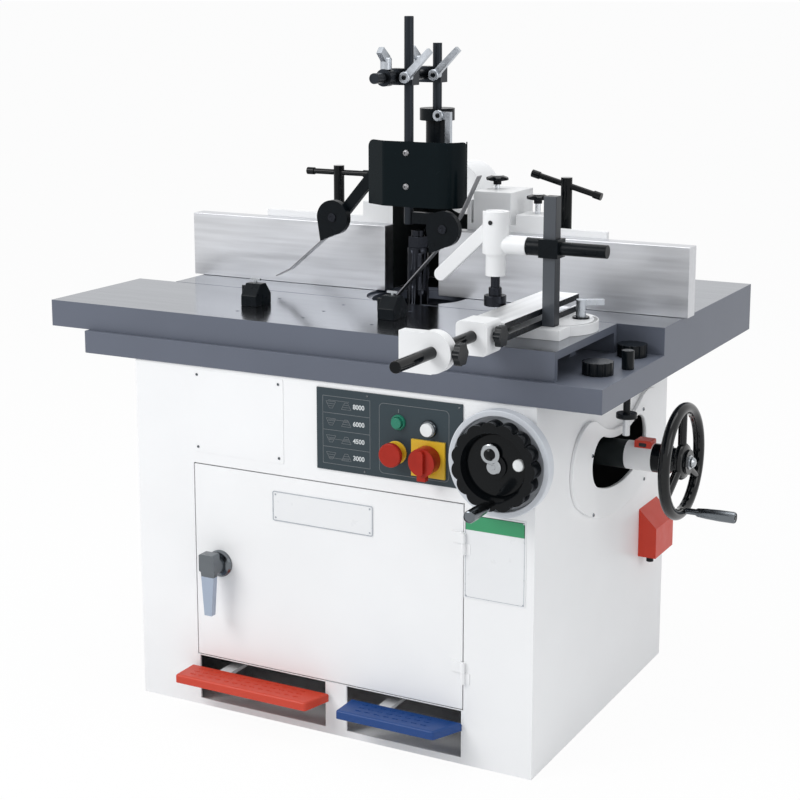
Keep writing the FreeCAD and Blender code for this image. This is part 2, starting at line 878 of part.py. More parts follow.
def door():
    skin = box("door_sheet", ("door_width", "door_skin", "door_height"),
               ("-door_left", FRONT, "door_foot"))
    returns = box("door_rim", ("door_width", "door_return", "door_height"),
                  ("-door_left", FRONT, "door_foot"))
    hollow = box("door_hollow",
                 ("door_width - 2*door_skin", "2*door_return", "door_height - 2*door_skin"),
                 ("-door_left + door_skin", "-cab_depth/2 + door_skin", "door_foot + door_skin"))
    pan = cut("door_pan", returns, [hollow])
    parts = [skin, pan]
    for tag, foot in (("low", "door_foot + hinge_inset + hinge_knuckle + seat_gap"),
                      ("high", "door_foot + door_height - hinge_inset - hinge_knuckle + seat_gap")):
        leaf = box("door_leaf_" + tag, ("6*hinge_radius", "door_skin", "hinge_knuckle - seat_gap"),
                   ("-door_left + door_width + door_gap - 6*hinge_radius",
                    "-cab_depth/2 - door_skin/2 - hinge_pin", foot))
        pad = box("door_pad_" + tag, ("4*hinge_radius", "2*door_skin", "hinge_knuckle - seat_gap"),
                  ("-door_left + door_width - 5*hinge_radius",
                   "-cab_depth/2 - door_skin", foot))
        parts += [leaf, pad, hinge_barrel("door_barrel_" + tag, foot, "hinge_radius",
                                          "hinge_knuckle - seat_gap")]
    leafed = fuse("door_leafed", parts)
    bores = []
    for tag, foot in (("low", "door_foot + hinge_inset"),
                      ("high", "door_foot + door_height - hinge_inset - 2*hinge_knuckle")):
        bores.append(hinge_barrel("door_bore_" + tag, foot, "hinge_pin + run_gap",
                                  "3*hinge_knuckle"))
    bores.append(cylinder("latch_hole", "latch_shaft + run_gap", "4*door_return",
                          ("-latch_left", "-cab_depth/2 - door_return", "latch_height"), ALONG_Y))
    keep("door", cut("door", leafed, bores))

    shaft = cylinder("latch_spindle", "latch_shaft", "latch_standoff + door_return",
                     ("-latch_left", "-cab_depth/2 - latch_standoff", "latch_height"), ALONG_Y)
    hub = cylinder("latch_boss", "latch_hub", "latch_standoff - seat_gap",
                   ("-latch_left", "-cab_depth/2 - latch_standoff", "latch_height"), ALONG_Y)
    lever = profile("latch_bar", [
        ("-latch_lever_width*2/3", "latch_hub"), ("-latch_lever_width/3", "-latch_lever_drop"),
        ("latch_lever_width/3", "-latch_lever_drop"), ("latch_lever_width*2/3", "latch_hub")],
        "latch_lever_thick", ("-latch_left", "-cab_depth/2 - latch_standoff + latch_lever_thick",
                              "latch_height"), TO_FRONT)
    keep("door_latch", fuse("door_latch", [shaft, hub, lever]))


def controls():
    face = "-cab_depth/2 - panel_thick"
    sheet = box("panel_plate", ("panel_width", "panel_thick", "panel_height"),
                ("-panel_left", face, "panel_foot"))
    square = box("switch_square", ("switch_plate", "switch_plate_thick + panel_thick/2", "switch_plate"),
                 ("switch_x - switch_plate/2", face + " - switch_plate_thick",
                  "switch_z - switch_plate/2"))
    lamp = cylinder("pilot_lamp", "lamp_radius", "lamp_out + panel_thick/2",
                    ("lamp_x", face + " - lamp_out", "lamp_z"), ALONG_Y)
    plate = fuse("panel_fittings", [sheet, square, lamp])
    holes = []
    for tag, x, z, radius in (("start", "start_x", "start_z", "start_radius"),
                              ("stop", "stop_x", "stop_z", "button_stem"),
                              ("switch", "switch_x", "switch_z", "switch_shaft")):
        holes.append(cylinder(tag + "_hole", radius + " + run_gap",
                              "2*switch_plate_thick + 2*panel_thick",
                              (x, face + " - 2*switch_plate_thick", z), ALONG_Y))
    keep("control_panel", cut("control_panel", plate, holes))
    keep("start_button", cylinder("start_button", "start_radius",
                                  "button_out + panel_thick + button_back",
                                  ("start_x", "-cab_depth/2 - panel_thick - button_out",
                                   "start_z"), ALONG_Y))
    stem = cylinder("stop_stem", "button_stem", "stop_out + panel_thick + button_back",
                    ("stop_x", "-cab_depth/2 - panel_thick - stop_out", "stop_z"), ALONG_Y)
    cap = cylinder("stop_cap_disc", "stop_radius", "stop_cap",
                   ("stop_x", "-cab_depth/2 - panel_thick - stop_out", "stop_z"), ALONG_Y)
    keep("stop_button", fuse("stop_button", [stem, cap]))
    shaft = cylinder("switch_stem", "switch_shaft", "switch_out + panel_thick + button_back",
                     ("switch_x", "-cab_depth/2 - panel_thick - switch_out", "switch_z"), ALONG_Y)
    knob = cylinder("switch_disc", "switch_radius", "switch_out - switch_standoff",
                    ("switch_x", "-cab_depth/2 - panel_thick - switch_out", "switch_z"), ALONG_Y)
    grip = box("switch_grip_bar", ("switch_grip", "switch_grip_depth", "switch_grip_reach"),
               ("switch_x - switch_grip/2", face + " - switch_out", "switch_z - switch_grip_reach"))
    keep("isolator_knob", fuse("isolator_knob", [shaft, knob, grip]))


def pedal(label, left, length, strap, slant):
    """A tread pressed to a shallow pan with a slanted end, on a strap that runs back to its hub."""
    deep = "tread_front - tread_back"
    rim = [("-tread_thick", "-tread_thick"), (length + " - " + slant + " - tread_thick", "-tread_thick"),
           (length + " - tread_thick", deep + " - tread_thick"),
           ("-tread_thick", deep + " - tread_thick")]
    room = [("tread_thick", "tread_thick"), (length + " - " + slant + " - tread_thick", "tread_thick"),
            (length + " - tread_thick", deep + " + tread_thick"),
            ("tread_thick", deep + " + tread_thick")]
    low = "tread_top - tread_lip"
    shell = profile(label + "_shell", rim, "tread_lip",
                    (left + " + tread_thick", "-tread_front + tread_thick", low), None)
    hollow = profile(label + "_room", room, "tread_lip - tread_thick", (left, "-tread_front", low), None)
    pan = cut(label + "_pan", shell, [hollow])
    arm = box(label + "_strap", ("strap_width", "tread_front - pedal_y - tread_thick", "strap_thick"),
              (strap + " - strap_width/2", "-tread_front + tread_thick",
               "tread_top - tread_thick - strap_thick"))
    hub = cylinder(label + "_hub", "pedal_hub", "pedal_hub_length",
                   (strap + " - pedal_hub_length/2", "-pedal_y", "pedal_z"), ALONG_X)
    bore = cylinder(label + "_bore", "pedal_shaft + run_gap", "2*pedal_hub_length",
                    (strap + " - pedal_hub_length", "-pedal_y", "pedal_z"), ALONG_X)
    keep(label, cut(label, fuse(label, [pan, arm, hub]), [bore]))


def pedals():
    keep("pedal_shaft", cylinder("pedal_rod", "pedal_shaft", "cab_width - 2*wall",
                                 ("-cab_width/2 + wall", "-pedal_y", "pedal_z"), ALONG_X))
    pedal("brake_pedal", "-brake_left", "brake_length", "-brake_strap", "brake_slant")
    pedal("lock_pedal", "lock_left", "lock_length", "lock_strap", "lock_slant")


def tilt_drive():
    spot = ("tilt_x", FRONT, "tilt_z")
    bore = number("tilt_shaft + run_gap")
    neck = number("tilt_neck_radius")
    rise = number("tilt_neck_depth")
    wide = number("tilt_housing_radius")
    deep = number("tilt_housing_depth")
    dish = number("tilt_dish_radius")
    floor = number("tilt_housing_depth - tilt_dish_depth")
    housing = turned([(bore, 0), (neck, 0), (neck, rise), (wide, 2 * rise), (wide, deep),
                      (dish, deep), (dish, floor), (bore, floor)])
    keep("tilt_housing", shaped("tilt_housing", housing, spot, TO_FRONT))

    rim = number("tilt_wheel_radius")
    inner = number("tilt_wheel_radius - tilt_rim")
    back = number("tilt_wheel_back")
    front = number("tilt_wheel_back + tilt_wheel_depth")
    web = number("tilt_web")
    hub = number("tilt_hub")
    shaft = number("tilt_shaft")
    wheel = turned([(0, number("base_plate")), (shaft, number("base_plate")), (shaft, back - web),
                    (hub, back - web), (inner, back), (rim, back), (rim, front),
                    (inner, front), (inner - web, back + web), (hub, back + web),
                    (hub, front - web), (0, front - web)])
    wheel = wheel.common(lobed_rod(rim, SIZES["tilt_lobes"], number("tilt_lobe"), 2 * front))
    pin = Part.makeCylinder(number("crank_pin"), number("grip_length + grip_radius/2"),
                            Vector(0, -number("tilt_crank"), back + web))
    keep("tilt_wheel", shaped("tilt_wheel", wheel.fuse(pin), spot, TO_FRONT))
    grip = crank_grip()
    keep("tilt_grip", shaped("tilt_grip", grip,
                             ("tilt_x",
                              "-cab_depth/2 - tilt_wheel_back - tilt_wheel_depth - seat_gap",
                              "tilt_z - tilt_crank"), TO_FRONT))


def crank_grip():
    """A turning handle: a swollen sleeve over the crank pin."""
    radius = number("grip_radius")
    bore = number("crank_pin + run_gap")
    length = number("grip_length")
    neck = radius - 3
    outline = [(bore, 0), (neck, 0), (radius, length / 4), (radius, length * 2 / 3),
               (neck, length), (bore, length)]
    return turned(outline)


def table():
    slab = span("table_block", ("-table_length/2", "-table_front", UNDER),
                ("table_length/2", "table_back", "table_height"))
    step = span("ledge_block", ("-table_length/2", "-ledge_front", UNDER),
                ("table_length/2", "-table_front", LEDGE))
    rail = profile("table_rail", [("-rail_half", "0"), ("rail_half", "0"), ("0", "rail_height")],
                   "table_length - rail_short", ("-table_length/2", "-rail_y", LEDGE), FACING_X)
    casting = fuse("table", [slab, step, rail])
    ceiling = "table_height - table_skin"
    back = "table_back - table_rib"
    front = "-table_front + table_rib"
    floor = "table_height - table_slab - table_rib"
    bays = [
        span("bay_one", ("-table_length/2 + table_rib", front, floor),
             ("-bay_left - table_rib", back, ceiling)),
        span("bay_two", ("-bay_left", front, floor), ("bay_right", back, ceiling)),
        span("bay_three", ("bay_right + table_rib", front, floor),
             ("table_length/2 - table_rib", back, ceiling)),
    ]
    bore = cylinder("spindle_bore", "bore_radius", "2*table_slab",
                    (AXIS_X, AXIS_Y, UNDER))
    rebate = cylinder("spindle_rebate", "rebate_radius", "2*rebate_depth",
                      (AXIS_X, AXIS_Y, "table_height - rebate_depth"))
    holes = [cylinder("ledge_pin_hole", "pin_shaft + run_gap", "3*ledge_slab",
                      ("pin_x", "-pin_y", "table_height - table_slab - ledge_slab"))]
    for tag, y in (("front", "-knob_front_y"), ("back", "-knob_back_y")):
        holes.append(cylinder("knob_hole_" + tag, "knob_stud + run_gap", "2*knob_stud_depth",
                              ("knob_x", y, LEDGE + " - knob_stud_depth - 1")))
    keep("table", cut("table", casting, bays + [bore, rebate] + holes))

    for label, y in (("ledge_knob_front", "-knob_front_y"), ("ledge_knob_back", "-knob_back_y")):
        height = number("knob_height")
        head = Part.makeCylinder(number("knob_radius"), height)
        head = scalloped(head, number("knob_radius + knob_scallop/2"), 12,
                         number("knob_scallop"), height)
        stud = Part.makeCylinder(number("knob_stud"), number("knob_stud_depth"),
                                 Vector(0, 0, -number("knob_stud_depth")))
        keep(label, shaped(label, head.fuse(stud), ("knob_x", y, LEDGE + " + seat_gap")))
    head = cylinder("plunger_head", "pin_head", "pin_head_height",
                    ("pin_x", "-pin_y", LEDGE + " + seat_gap"))
    shaft = cylinder("plunger_shaft", "pin_shaft", "pin_drop + pin_head_height/2",
                     ("pin_x", "-pin_y", LEDGE + " - pin_drop"))
    collar = cylinder("plunger_collar", "pin_collar", "pin_collar_thick",
                      ("pin_x", "-pin_y", "pin_collar_low"))
    keep("ledge_pin", fuse("ledge_pin", [head, shaft, collar]))


def sliding_table():
    low = "table_height - table_slab + ledge_slab + seat_gap"
    inside = "table_height - slide_skin"
    shell = profile("slide", [
        ("-slide_front", low), ("-slide_front + slide_wall", low),
        ("-slide_front + slide_wall", inside), ("-slide_back - slide_wall", inside),
        ("-slide_back - slide_wall", low), ("-slide_back", low),
        ("-slide_back", "table_height"), ("-slide_front", "table_height")],
        "slide_length", ("-slide_left", "0", "0"), FACING_X)
    groove_half = "rail_half*3/4 + runner_gap"
    runner = profile("runner", [
        ("-runner_width/2", "rail_height/4"), ("-rail_half*3/4 - 2*runner_gap", "rail_height/4"),
        ("0", "rail_height + 2*runner_gap"), (groove_half + " + runner_gap", "rail_height/4"),
        ("runner_width/2", "rail_height/4"),
        ("runner_width/2", "table_slab - ledge_slab - slide_skin/2"),
        ("-runner_width/2", "table_slab - ledge_slab - slide_skin/2")],
        "runner_length", ("-runner_length/2", "-rail_y", LEDGE), FACING_X)
    holes = []
    for column in range(3):
        for row in range(3):
            holes.append(cylinder("tapped_%d_%d" % (column, row), "tapped_radius", "4*slide_skin",
                                  ("-tapped_first_x + %d*tapped_step_x" % column,
                                   "-tapped_first_y + %d*tapped_step_y" % row,
                                   "table_height - 2*slide_skin")))
    keep("sliding_table", cut("sliding_table", fuse("sliding_table", [shell, runner]), holes))

    blocks = []
    for tag, x in (("left", "-block_x_left"), ("right", "block_x_right")):
        blocks.append(profile("stop_block_" + tag, [
            ("-block_y - block_deep/2", "table_height"), ("-block_y + block_deep/2", "table_height"),
            ("-block_y + block_deep/2", "table_height + block_face"),
            ("-block_y + block_deep/6", "table_height + block_tall"),
            ("-block_y - block_deep/6", "table_height + block_tall"),
            ("-block_y - block_deep/2", "table_height + block_face")],
            "block_wide", (x + " - block_wide/2", "0", "0"), FACING_X))
    keep("stop_blocks", group("stop_blocks", blocks))


def tilt_unit():
    depth = number("guide_thick")
    out = number("cheek_out")
    gap = number("seat_gap")
    lug = number("guide_lug")
    swing = number("guide_swing")
    middle = (number("guide_inner_radius") + number("guide_outer_radius")) / 2
    reach = middle * math.sin(math.radians(swing))
    lug_low = number("guide_lug_low - table_height")
    lug_tops = {-1: -number("table_slab"), 1: -number("table_skin")}
    rails = []
    for tag, start in (("left", -out - gap - depth), ("right", out + gap)):
        rail = sector(number("guide_inner_radius"), number("guide_outer_radius"), swing, depth, start)
        for side in (-1, 1):
            corner = Vector(start, side * reach - lug / 2, lug_low)
            rail = rail.fuse(Part.makeBox(depth, lug, lug_tops[side] - lug_low, corner))
        rails.append(shaped("guide_" + tag, rail.removeSplitter(), (AXIS_X, AXIS_Y, "table_height")))
    keep("trunnion_guides", group("trunnion_guides", rails))

    parts = []
    for tag, low, inner_face in (("left", "cheek_left_low", "-spindle_left - cheek_out"),
                                 ("right", "cheek_right_low",
                                  "-spindle_left + cheek_out - cheek_thick")):
        parts.append(box("cheek_" + tag,
                         ("cheek_thick", "cheek_back - cheek_front", "cheek_top - " + low),
                         (inner_face, "cheek_front", low)))
        start = -out - gap - depth if tag == "left" else out - number("cheek_thick") / 2
        reach_x = gap + depth + number("cheek_thick") / 2
        for name, inner, outer in (
                ("inner", number("guide_inner_radius - seat_gap - shoe_depth"),
                 number("guide_inner_radius - seat_gap")),
                ("outer", number("guide_outer_radius + seat_gap"),
                 number("guide_outer_radius + seat_gap + shoe_depth"))):
            parts.append(shaped("shoe_%s_%s" % (tag, name),
                                sector(inner, outer, number("shoe_swing"), reach_x, start),
                                (AXIS_X, AXIS_Y, "table_height")))
    beam = span("upper_beam", ("-spindle_left - cheek_out + cheek_thick", "beam_front", "beam_low"),
                ("-spindle_left + cheek_out - cheek_thick", "cheek_back", "cheek_top"))
    tie = box("lower_tie", ("2*column_spread + 4*column_radius", "3*column_radius", "tie_thick"),
              ("-spindle_left - column_spread - 2*column_radius", "column_y - 1.5*column_radius",
               "tie_low"))
    parts += [beam, tie]
    for tag, x in (("left", "-spindle_left - column_spread"), ("right", "-spindle_left + column_spread")):
        parts.append(cylinder("column_" + tag, "column_radius",
                              "beam_low - tie_low", (x, "column_y", "tie_low")))
    hole = cylinder("drive_hole", "drive_shaft + run_gap", "4*cheek_thick",
                    ("-spindle_left + cheek_out - 3*cheek_thick", "tube_y", "tube_z"), ALONG_X)
    keep("trunnion", cut("trunnion", fuse("trunnion", parts), [hole]))
    keep("lift_screw", cylinder("lift_rod", "screw_radius",
                                "beam_low - tie_low - tie_thick - 2*seat_gap",
                                (AXIS_X, "column_y", "tie_low + tie_thick + seat_gap")))

    quill = cylinder("quill", "quill_radius", "quill_top - quill_low", (AXIS_X, AXIS_Y, "quill_low"))
    saddle = box("saddle", ("2*saddle_half", "saddle_back - saddle_front", "saddle_height"),
                 ("-spindle_left - saddle_half", "saddle_front", "saddle_low"))
    shelf_top = "motor_plate_low + motor_plate"
    plate = span("motor_shelf",
                 ("-motor_plate_left", "spindle_back - motor_radius", "motor_plate_low"),
                 ("-motor_plate_right", "spindle_back + motor_radius", shelf_top))
    neck = span("motor_neck",
                ("-motor_plate_right", "spindle_back - motor_neck_half", "motor_plate_low"),
                (AXIS_X, "spindle_back + motor_neck_half", shelf_top))
    bores = [
        cylinder("quill_bore", "journal_radius + run_gap", "quill_top - quill_low + 2*wall",
                 (AXIS_X, AXIS_Y, "quill_low - wall")),
        cylinder("screw_bore", "screw_radius + run_gap", "2*saddle_height",
                 (AXIS_X, "column_y", "saddle_low - saddle_height/2")),
        cylinder("shaft_hole", "2*motor_shaft", "4*motor_plate",
                 ("-motor_left", AXIS_Y, "motor_plate_low - motor_plate")),
    ]
    for tag, x in (("left", "-spindle_left - column_spread"), ("right", "-spindle_left + column_spread")):
        bores.append(cylinder("column_bore_" + tag, "column_radius + run_gap", "2*saddle_height",
                              (x, "column_y", "saddle_low - saddle_height/2")))
    keep("carriage", cut("carriage", fuse("carriage", [quill, saddle, plate, neck]), bores))


def spindle():
    journal = cylinder("journal", "journal_radius", "quill_top - journal_low + seat_gap",
                       (AXIS_X, AXIS_Y, "journal_low"))
    flange = cylinder("arbor_seat", "arbor_flange", "arbor_flange_height",
                      (AXIS_X, AXIS_Y, "quill_top + seat_gap"))
    shaft = cylinder("arbor_shaft", "arbor_radius", "arbor_top - quill_top",
                     (AXIS_X, AXIS_Y, "quill_top"))
    keep("arbor", fuse("arbor", [journal, flange, shaft]))
    seat = "quill_top + seat_gap + arbor_flange_height"
    stack = []
    for index in range(6):
        foot = seat + " + %d*ring_height" % index
        ring = cylinder("ring_%d" % index, "ring_radius", "ring_height", (AXIS_X, AXIS_Y, foot))
        hole = cylinder("ring_hole_%d" % index, "arbor_radius + run_gap", "2*ring_height",
                        (AXIS_X, AXIS_Y, foot + " - ring_height/2"))
        stack.append(cut("ring_cut_%d" % index, ring, [hole]))
    corners = [(number("nut_radius") * math.cos(math.radians(60 * k)),
                number("nut_radius") * math.sin(math.radians(60 * k))) for k in range(6)]
    outline = [Vector(x, y, 0) for x, y in corners]
    nut = Part.Face(Part.makePolygon(outline + outline[:1])).extrude(Vector(0, 0, number("nut_height")))
    nut = nut.cut(Part.makeCylinder(number("arbor_radius + run_gap"), number("nut_height")))
    stack.append(shaped("arbor_nut", nut, (AXIS_X, AXIS_Y, seat + " + 6*ring_height")))
    keep("arbor_stack", group("arbor_stack", stack))

    for label, radius, bore, x in (
            ("spindle_pulley", "spindle_pulley", "journal_radius", "-spindle_left"),
            ("motor_pulley", "motor_pulley", "0", "-motor_left")):
        low = number("belt_low - seat_gap")
        high = number("belt_low + belt_height + seat_gap")
        side = number("pulley_flange_thick")
        wide = number(radius + " + pulley_flange")
        core = number(radius)
        hole = number(bore + " + run_gap") if bore != "0" else 0.0
        outline = [(hole, low - side), (wide, low - side), (wide, low), (core, low),
                   (core, high), (wide, high), (wide, high + side), (hole, high + side)]
        wheel = turned(outline)
        if label == "motor_pulley":
            top = number("motor_plate_low + motor_plate + motor_shaft_up")
            wheel = wheel.fuse(Part.makeCylinder(number("motor_shaft"), top - low, Vector(0, 0, low)))
        keep(label, shaped(label, wheel, (x, AXIS_Y, "0")))
    keep("belt", shaped("belt", belt_loop(), (AXIS_X, AXIS_Y, "belt_low")))

    body = cylinder("motor_case", "motor_radius", "motor_height - motor_foot_height",
                    ("-motor_left", AXIS_Y, "motor_plate_low + motor_plate + motor_foot_height"))
    foot = cylinder("motor_foot", "motor_foot_radius", "motor_foot_height + 1",
                    ("-motor_left", AXIS_Y, "motor_plate_low + motor_plate"))
    room = cylinder("motor_bore", "motor_shaft + run_gap", "motor_shaft_up + motor_plate + 1",
                    ("-motor_left", AXIS_Y, "motor_plate_low"))
    lead = span("motor_lead_box", ("-motor_left - motor_radius - motor_foot_height",
                                   "spindle_back - motor_foot_radius/2",
                                   "motor_plate_low + motor_plate + motor_foot_radius"),
                ("-motor_left - motor_foot_radius", "spindle_back + motor_foot_radius/2",
                 "motor_plate_low + motor_plate + 2*motor_foot_radius"))
    keep("motor", cut("motor", fuse("motor", [body, foot, lead]), [room]))


def belt_loop():
    """A flat belt round the two pulleys, drawn as two arcs and two straight runs."""
    apart = number("motor_left - spindle_left")
    gap = number("seat_gap")

    def loop(extra):
        small = number("spindle_pulley") + extra
        large = number("motor_pulley") + extra
        lean = math.acos((large - small) / apart)

        def at(centre, radius, angle):
            return Vector(centre + radius * math.cos(angle), radius * math.sin(angle), 0)
        far = -apart
        turn = lean
        edges = [
            Part.Arc(at(0, small, turn), at(0, small, 0), at(0, small, -turn)).toShape(),
            Part.LineSegment(at(0, small, -turn), at(far, large, -turn)).toShape(),
            Part.Arc(at(far, large, -turn), at(far, large, math.pi), at(far, large, turn)).toShape(),
            Part.LineSegment(at(far, large, turn), at(0, small, turn)).toShape(),
        ]
        return Part.Face(Part.Wire(edges)).extrude(Vector(0, 0, number("belt_height")))
    return loop(gap + number("belt_thick")).cut(loop(gap))


def height_drive():
    start = "-spindle_left + cheek_out"
    line = ("tube_y", "tube_z")
    tube = cylinder("tube", "tube_radius", "tube_end + spindle_left - cheek_out",
                    (start,) + line, ALONG_X)
    flange = cylinder("tube_seat", "tube_flange", "tube_flange_thick", (start,) + line, ALONG_X)
    bore = cylinder("tube_bore", "drive_shaft + run_gap", "2*tube_end", ("0",) + line, ALONG_X)
    keep("height_tube", cut("height_tube", fuse("height_tube", [tube, flange]), [bore]))

    hub = cylinder("wheel_boss", "wheel_hub", "wheel_hub_length",
                   ("tube_end + seat_gap",) + line, ALONG_X)
    shaft = cylinder("drive_rod", "drive_shaft",
                     "tube_end + spindle_left - cheek_out + 2*cheek_thick",
                     ("-spindle_left + cheek_out - 2*cheek_thick + seat_gap",) + line, ALONG_X)
    rim = document.addObject("Part::Torus", "wheel_ring")
    rim.setExpression("Radius1", link("wheel_radius"))
    rim.setExpression("Radius2", link("wheel_rim"))
    place(rim, ("wheel_x",) + line, ALONG_X)
    parts = [hub, shaft, rim]
    for index in range(3):
        turn = Rotation(Vector(1, 0, 0), 120 * index)
        parts.append(cylinder("wheel_spoke_%d" % index, "wheel_spoke", "wheel_radius",
                              ("wheel_x",) + line, turn))
    pin = cylinder("wheel_pin", "crank_pin", "grip_length + wheel_rim + grip_radius/2",
                   ("wheel_x", "tube_y", "tube_z - wheel_crank"), ALONG_X)
    parts.append(pin)
    keep("height_wheel", fuse("height_wheel", parts))
    keep("height_grip", shaped("height_grip", crank_grip(),
                               ("wheel_x + wheel_rim + seat_gap", "tube_y", "tube_z - wheel_crank"),
                               ALONG_X))


def fence():
    back = "fence_y + fence_thick + seat_gap"
    rest = "table_height + seat_gap"
    shell = span("hood_shell", ("-hood_left", back, rest), ("hood_right", "hood_back", "hood_top"))
    shelf = span("hood_shelf", ("-shelf_left", "shelf_front", "hood_top - shelf_thick"),
                 ("shelf_right", back + " + 2*hood_wall", "hood_top"))
    boss = cylinder("spigot_collar", "spigot_boss", "hood_back - spigot_front",
                    (AXIS_X, "spigot_front", "spigot_z"), ALONG_Y)
    spigot = cylinder("spigot", "spigot_radius", "spigot_end - spigot_front",
                      (AXIS_X, "spigot_front", "spigot_z"), ALONG_Y)
    outside = fuse("hood_outside", [shell, boss, spigot])
    inside = span("hood_inside", ("-hood_left + hood_wall", "fence_y", "table_height - hood_wall"),
                  ("hood_right - hood_wall", "hood_back - hood_wall", "hood_top - hood_wall"))
    bore = cylinder("spigot_bore", "spigot_radius - spigot_wall", "spigot_end",
                    (AXIS_X, "spigot_front + hood_wall", "spigot_z"), ALONG_Y)
    hood = cut("hood", outside, [inside, bore])
    parts = [hood, shelf]
    for tag, low, high, wall in (("left", "-carrier_left", "-hood_left", "-foot_left"),
                                 ("right", "hood_right", "carrier_right", "foot_right")):
        parts.append(span("carrier_" + tag, (low, back, rest + " + carrier_low"),
                          (high, back + " + carrier_thick", "table_height + carrier_height")))
        ends = (wall, "-hood_left") if tag == "left" else ("hood_right", wall)
        parts.append(span("foot_" + tag, (ends[0], back, rest),
                          (ends[1], "foot_back", rest + " + foot_thick")))
    parts.append(span("hood_ear", ("-ear_reach", back, "ear_low"),
                      ("-hood_left + hood_wall", "ear_back", "ear_top")))
    parts.append(span("guide_block", ("block_left", back, "block_low"),
                      ("block_left + block_width", "block_back", "block_top")))
    parts.append(span("knob_pad", ("pad_left", back, "pad_low"),
                      ("pad_left + pad_width", "pad_back", "pad_top")))
    holes = []
    for tag, x in (("left", "-handle_left_x"), ("right", "handle_right_x")):
        holes.append(cylinder("handle_hole_" + tag, "handle_pin + run_gap", "2*foot_thick",
                              (x, "handle_y", rest + " + foot_thick - handle_pin_depth - 1")))
    keep("fence_hood", cut("fence_hood", fuse("fence_hood", parts), holes))

    keep("fence_left", span("fence_left", ("-fence_left_out", "fence_y", rest),
                            ("-fence_left_in", "fence_y + fence_thick",
                             "table_height + fence_height")))
    keep("fence_right", span("fence_right", ("fence_right_in", "fence_y", rest),
                             ("fence_right_out", "fence_y + fence_thick",
                              "table_height + fence_height")))
    top = "table_height + 2*seat_gap + foot_thick"
    for label, x, lean in (("t_handle_left", "-handle_left_x", 0),
                           ("t_handle_right", "handle_right_x", 15)):
        post = cylinder(label + "_post", "handle_post", "handle_height", (x, "handle_y", top))
        pin = cylinder(label + "_pin", "handle_pin", "handle_pin_depth + 1",
                       (x, "handle_y", top + " - handle_pin_depth"))
        half = number("handle_bar_half")
        end = number("handle_end_length")
        bar = Part.makeCylinder(number("handle_bar"), 2 * half, Vector(0, 0, -half))
        bar = bar.fuse([Part.makeCylinder(number("handle_end"), end, Vector(0, 0, start))
                        for start in (-half, half - end)])
        cross = shaped(label + "_bar", bar, (x, "handle_y", top + " + handle_height - 2.5*handle_bar"),
                       Rotation(Vector(0, 1, 0), 90 + lean))
        keep(label, fuse(label, [post, pin, cross]))

    knobs = []
    for tag, x, y, foot, lift in (("block", "star_block_x", "star_block_y", "block_top",
                                   "star_block_lift"),
                                  ("pad", "star_pad_x", "star_pad_y", "pad_top", "star_pad_lift")):
        raised = number(lift)
        height = number("star_height")
        wide = number("star_radius")
        thin = number("star_stem")
        cap = turned([(0, 0), (1.5 * thin, 0), (1.5 * thin, height / 3), (wide, height / 2),
                      (wide, height * 3 / 4), (wide / 2, height), (0, height)])
        cap = scalloped(cap, number("star_radius + star_scallop/4"), 6, number("star_scallop"), height)
        cap.translate(Vector(0, 0, raised))
        stem = Part.makeCylinder(thin, raised + height / 2)
        knobs.append(shaped("star_" + tag, cap.fuse(stem), (x, y, foot)))
    keep("star_knobs", group("star_knobs", knobs))


def front_lever(name, face_y):
    """A clamp lever on a front face: a round stud with a flat grip that leans up to the right."""
    out = number("lever_stud_out")
    thick = number("grip_thick")
    stud = Part.makeCylinder(number("lever_stud"), out + thick, Vector(), Vector(0, -1, 0))
    tip = Vector(number("grip_run"), 0, number("grip_rise"))
    along = Vector(tip)
    along.normalize()
    across = Vector(-along.z, 0, along.x)
    wide = number("lever_stud")
    slim = number("grip_half")
    ends = [across * wide, tip + across * slim, tip - across * slim, across * -wide]
    grip = Part.Face(Part.makePolygon(ends + ends[:1])).extrude(Vector(0, -thick, 0))
    grip.translate(Vector(0, -out, 0))
    return shaped(name, stud.fuse(grip).removeSplitter(), ("lever_x", face_y, "bar_z"))


def hanging_lever(name, spot):
    """A clamp lever bent to an L: out to the right of its stud, then straight down."""
    out = number("lever_stud_out")
    thick = number("grip_thick")
    stud = Part.makeCylinder(number("lever_stud"), out + thick, Vector(), Vector(0, -1, 0))
    wide = number("lever_stud")
    slim = number("grip_half")
    run = number("sleeve_lever_run")
    drop = number("sleeve_lever_drop")
    corners = [(0, wide), (run + slim, wide), (run + slim, -drop), (run - slim, -drop),
               (run - slim, -wide), (0, -wide)]
    ends = [Vector(across, 0, up) for across, up in corners]
    grip = Part.Face(Part.makePolygon(ends + ends[:1])).extrude(Vector(0, -thick, 0))
    grip.translate(Vector(0, -out, 0))
    return shaped(name, stud.fuse(grip).removeSplitter(), spot)


def top_lever(name, y):
    """A clamp lever on top of the cross bar: an upright stud with a grip towards the front."""
    tall = number("stud_rise")
    stud = Part.makeCylinder(number("lever_stud"), tall)
    tip = Vector(0, -number("stud_grip_run"), tall + number("stud_grip_rise"))
    half = number("grip_half")
    wide = number("lever_stud")
    ends = [Vector(0, wide, tall - wide), Vector(0, -wide, tall - wide),
            tip - Vector(0, half, half), tip + Vector(0, half, half), Vector(0, wide, tall + half)]
    grip = Part.Face(Part.makePolygon(ends + ends[:1])).extrude(Vector(2 * half, 0, 0))
    grip.translate(Vector(-half, 0, 0))
    return shaped(name, stud.fuse(grip).removeSplitter(), ("-bar_x", y, "bar_z"))


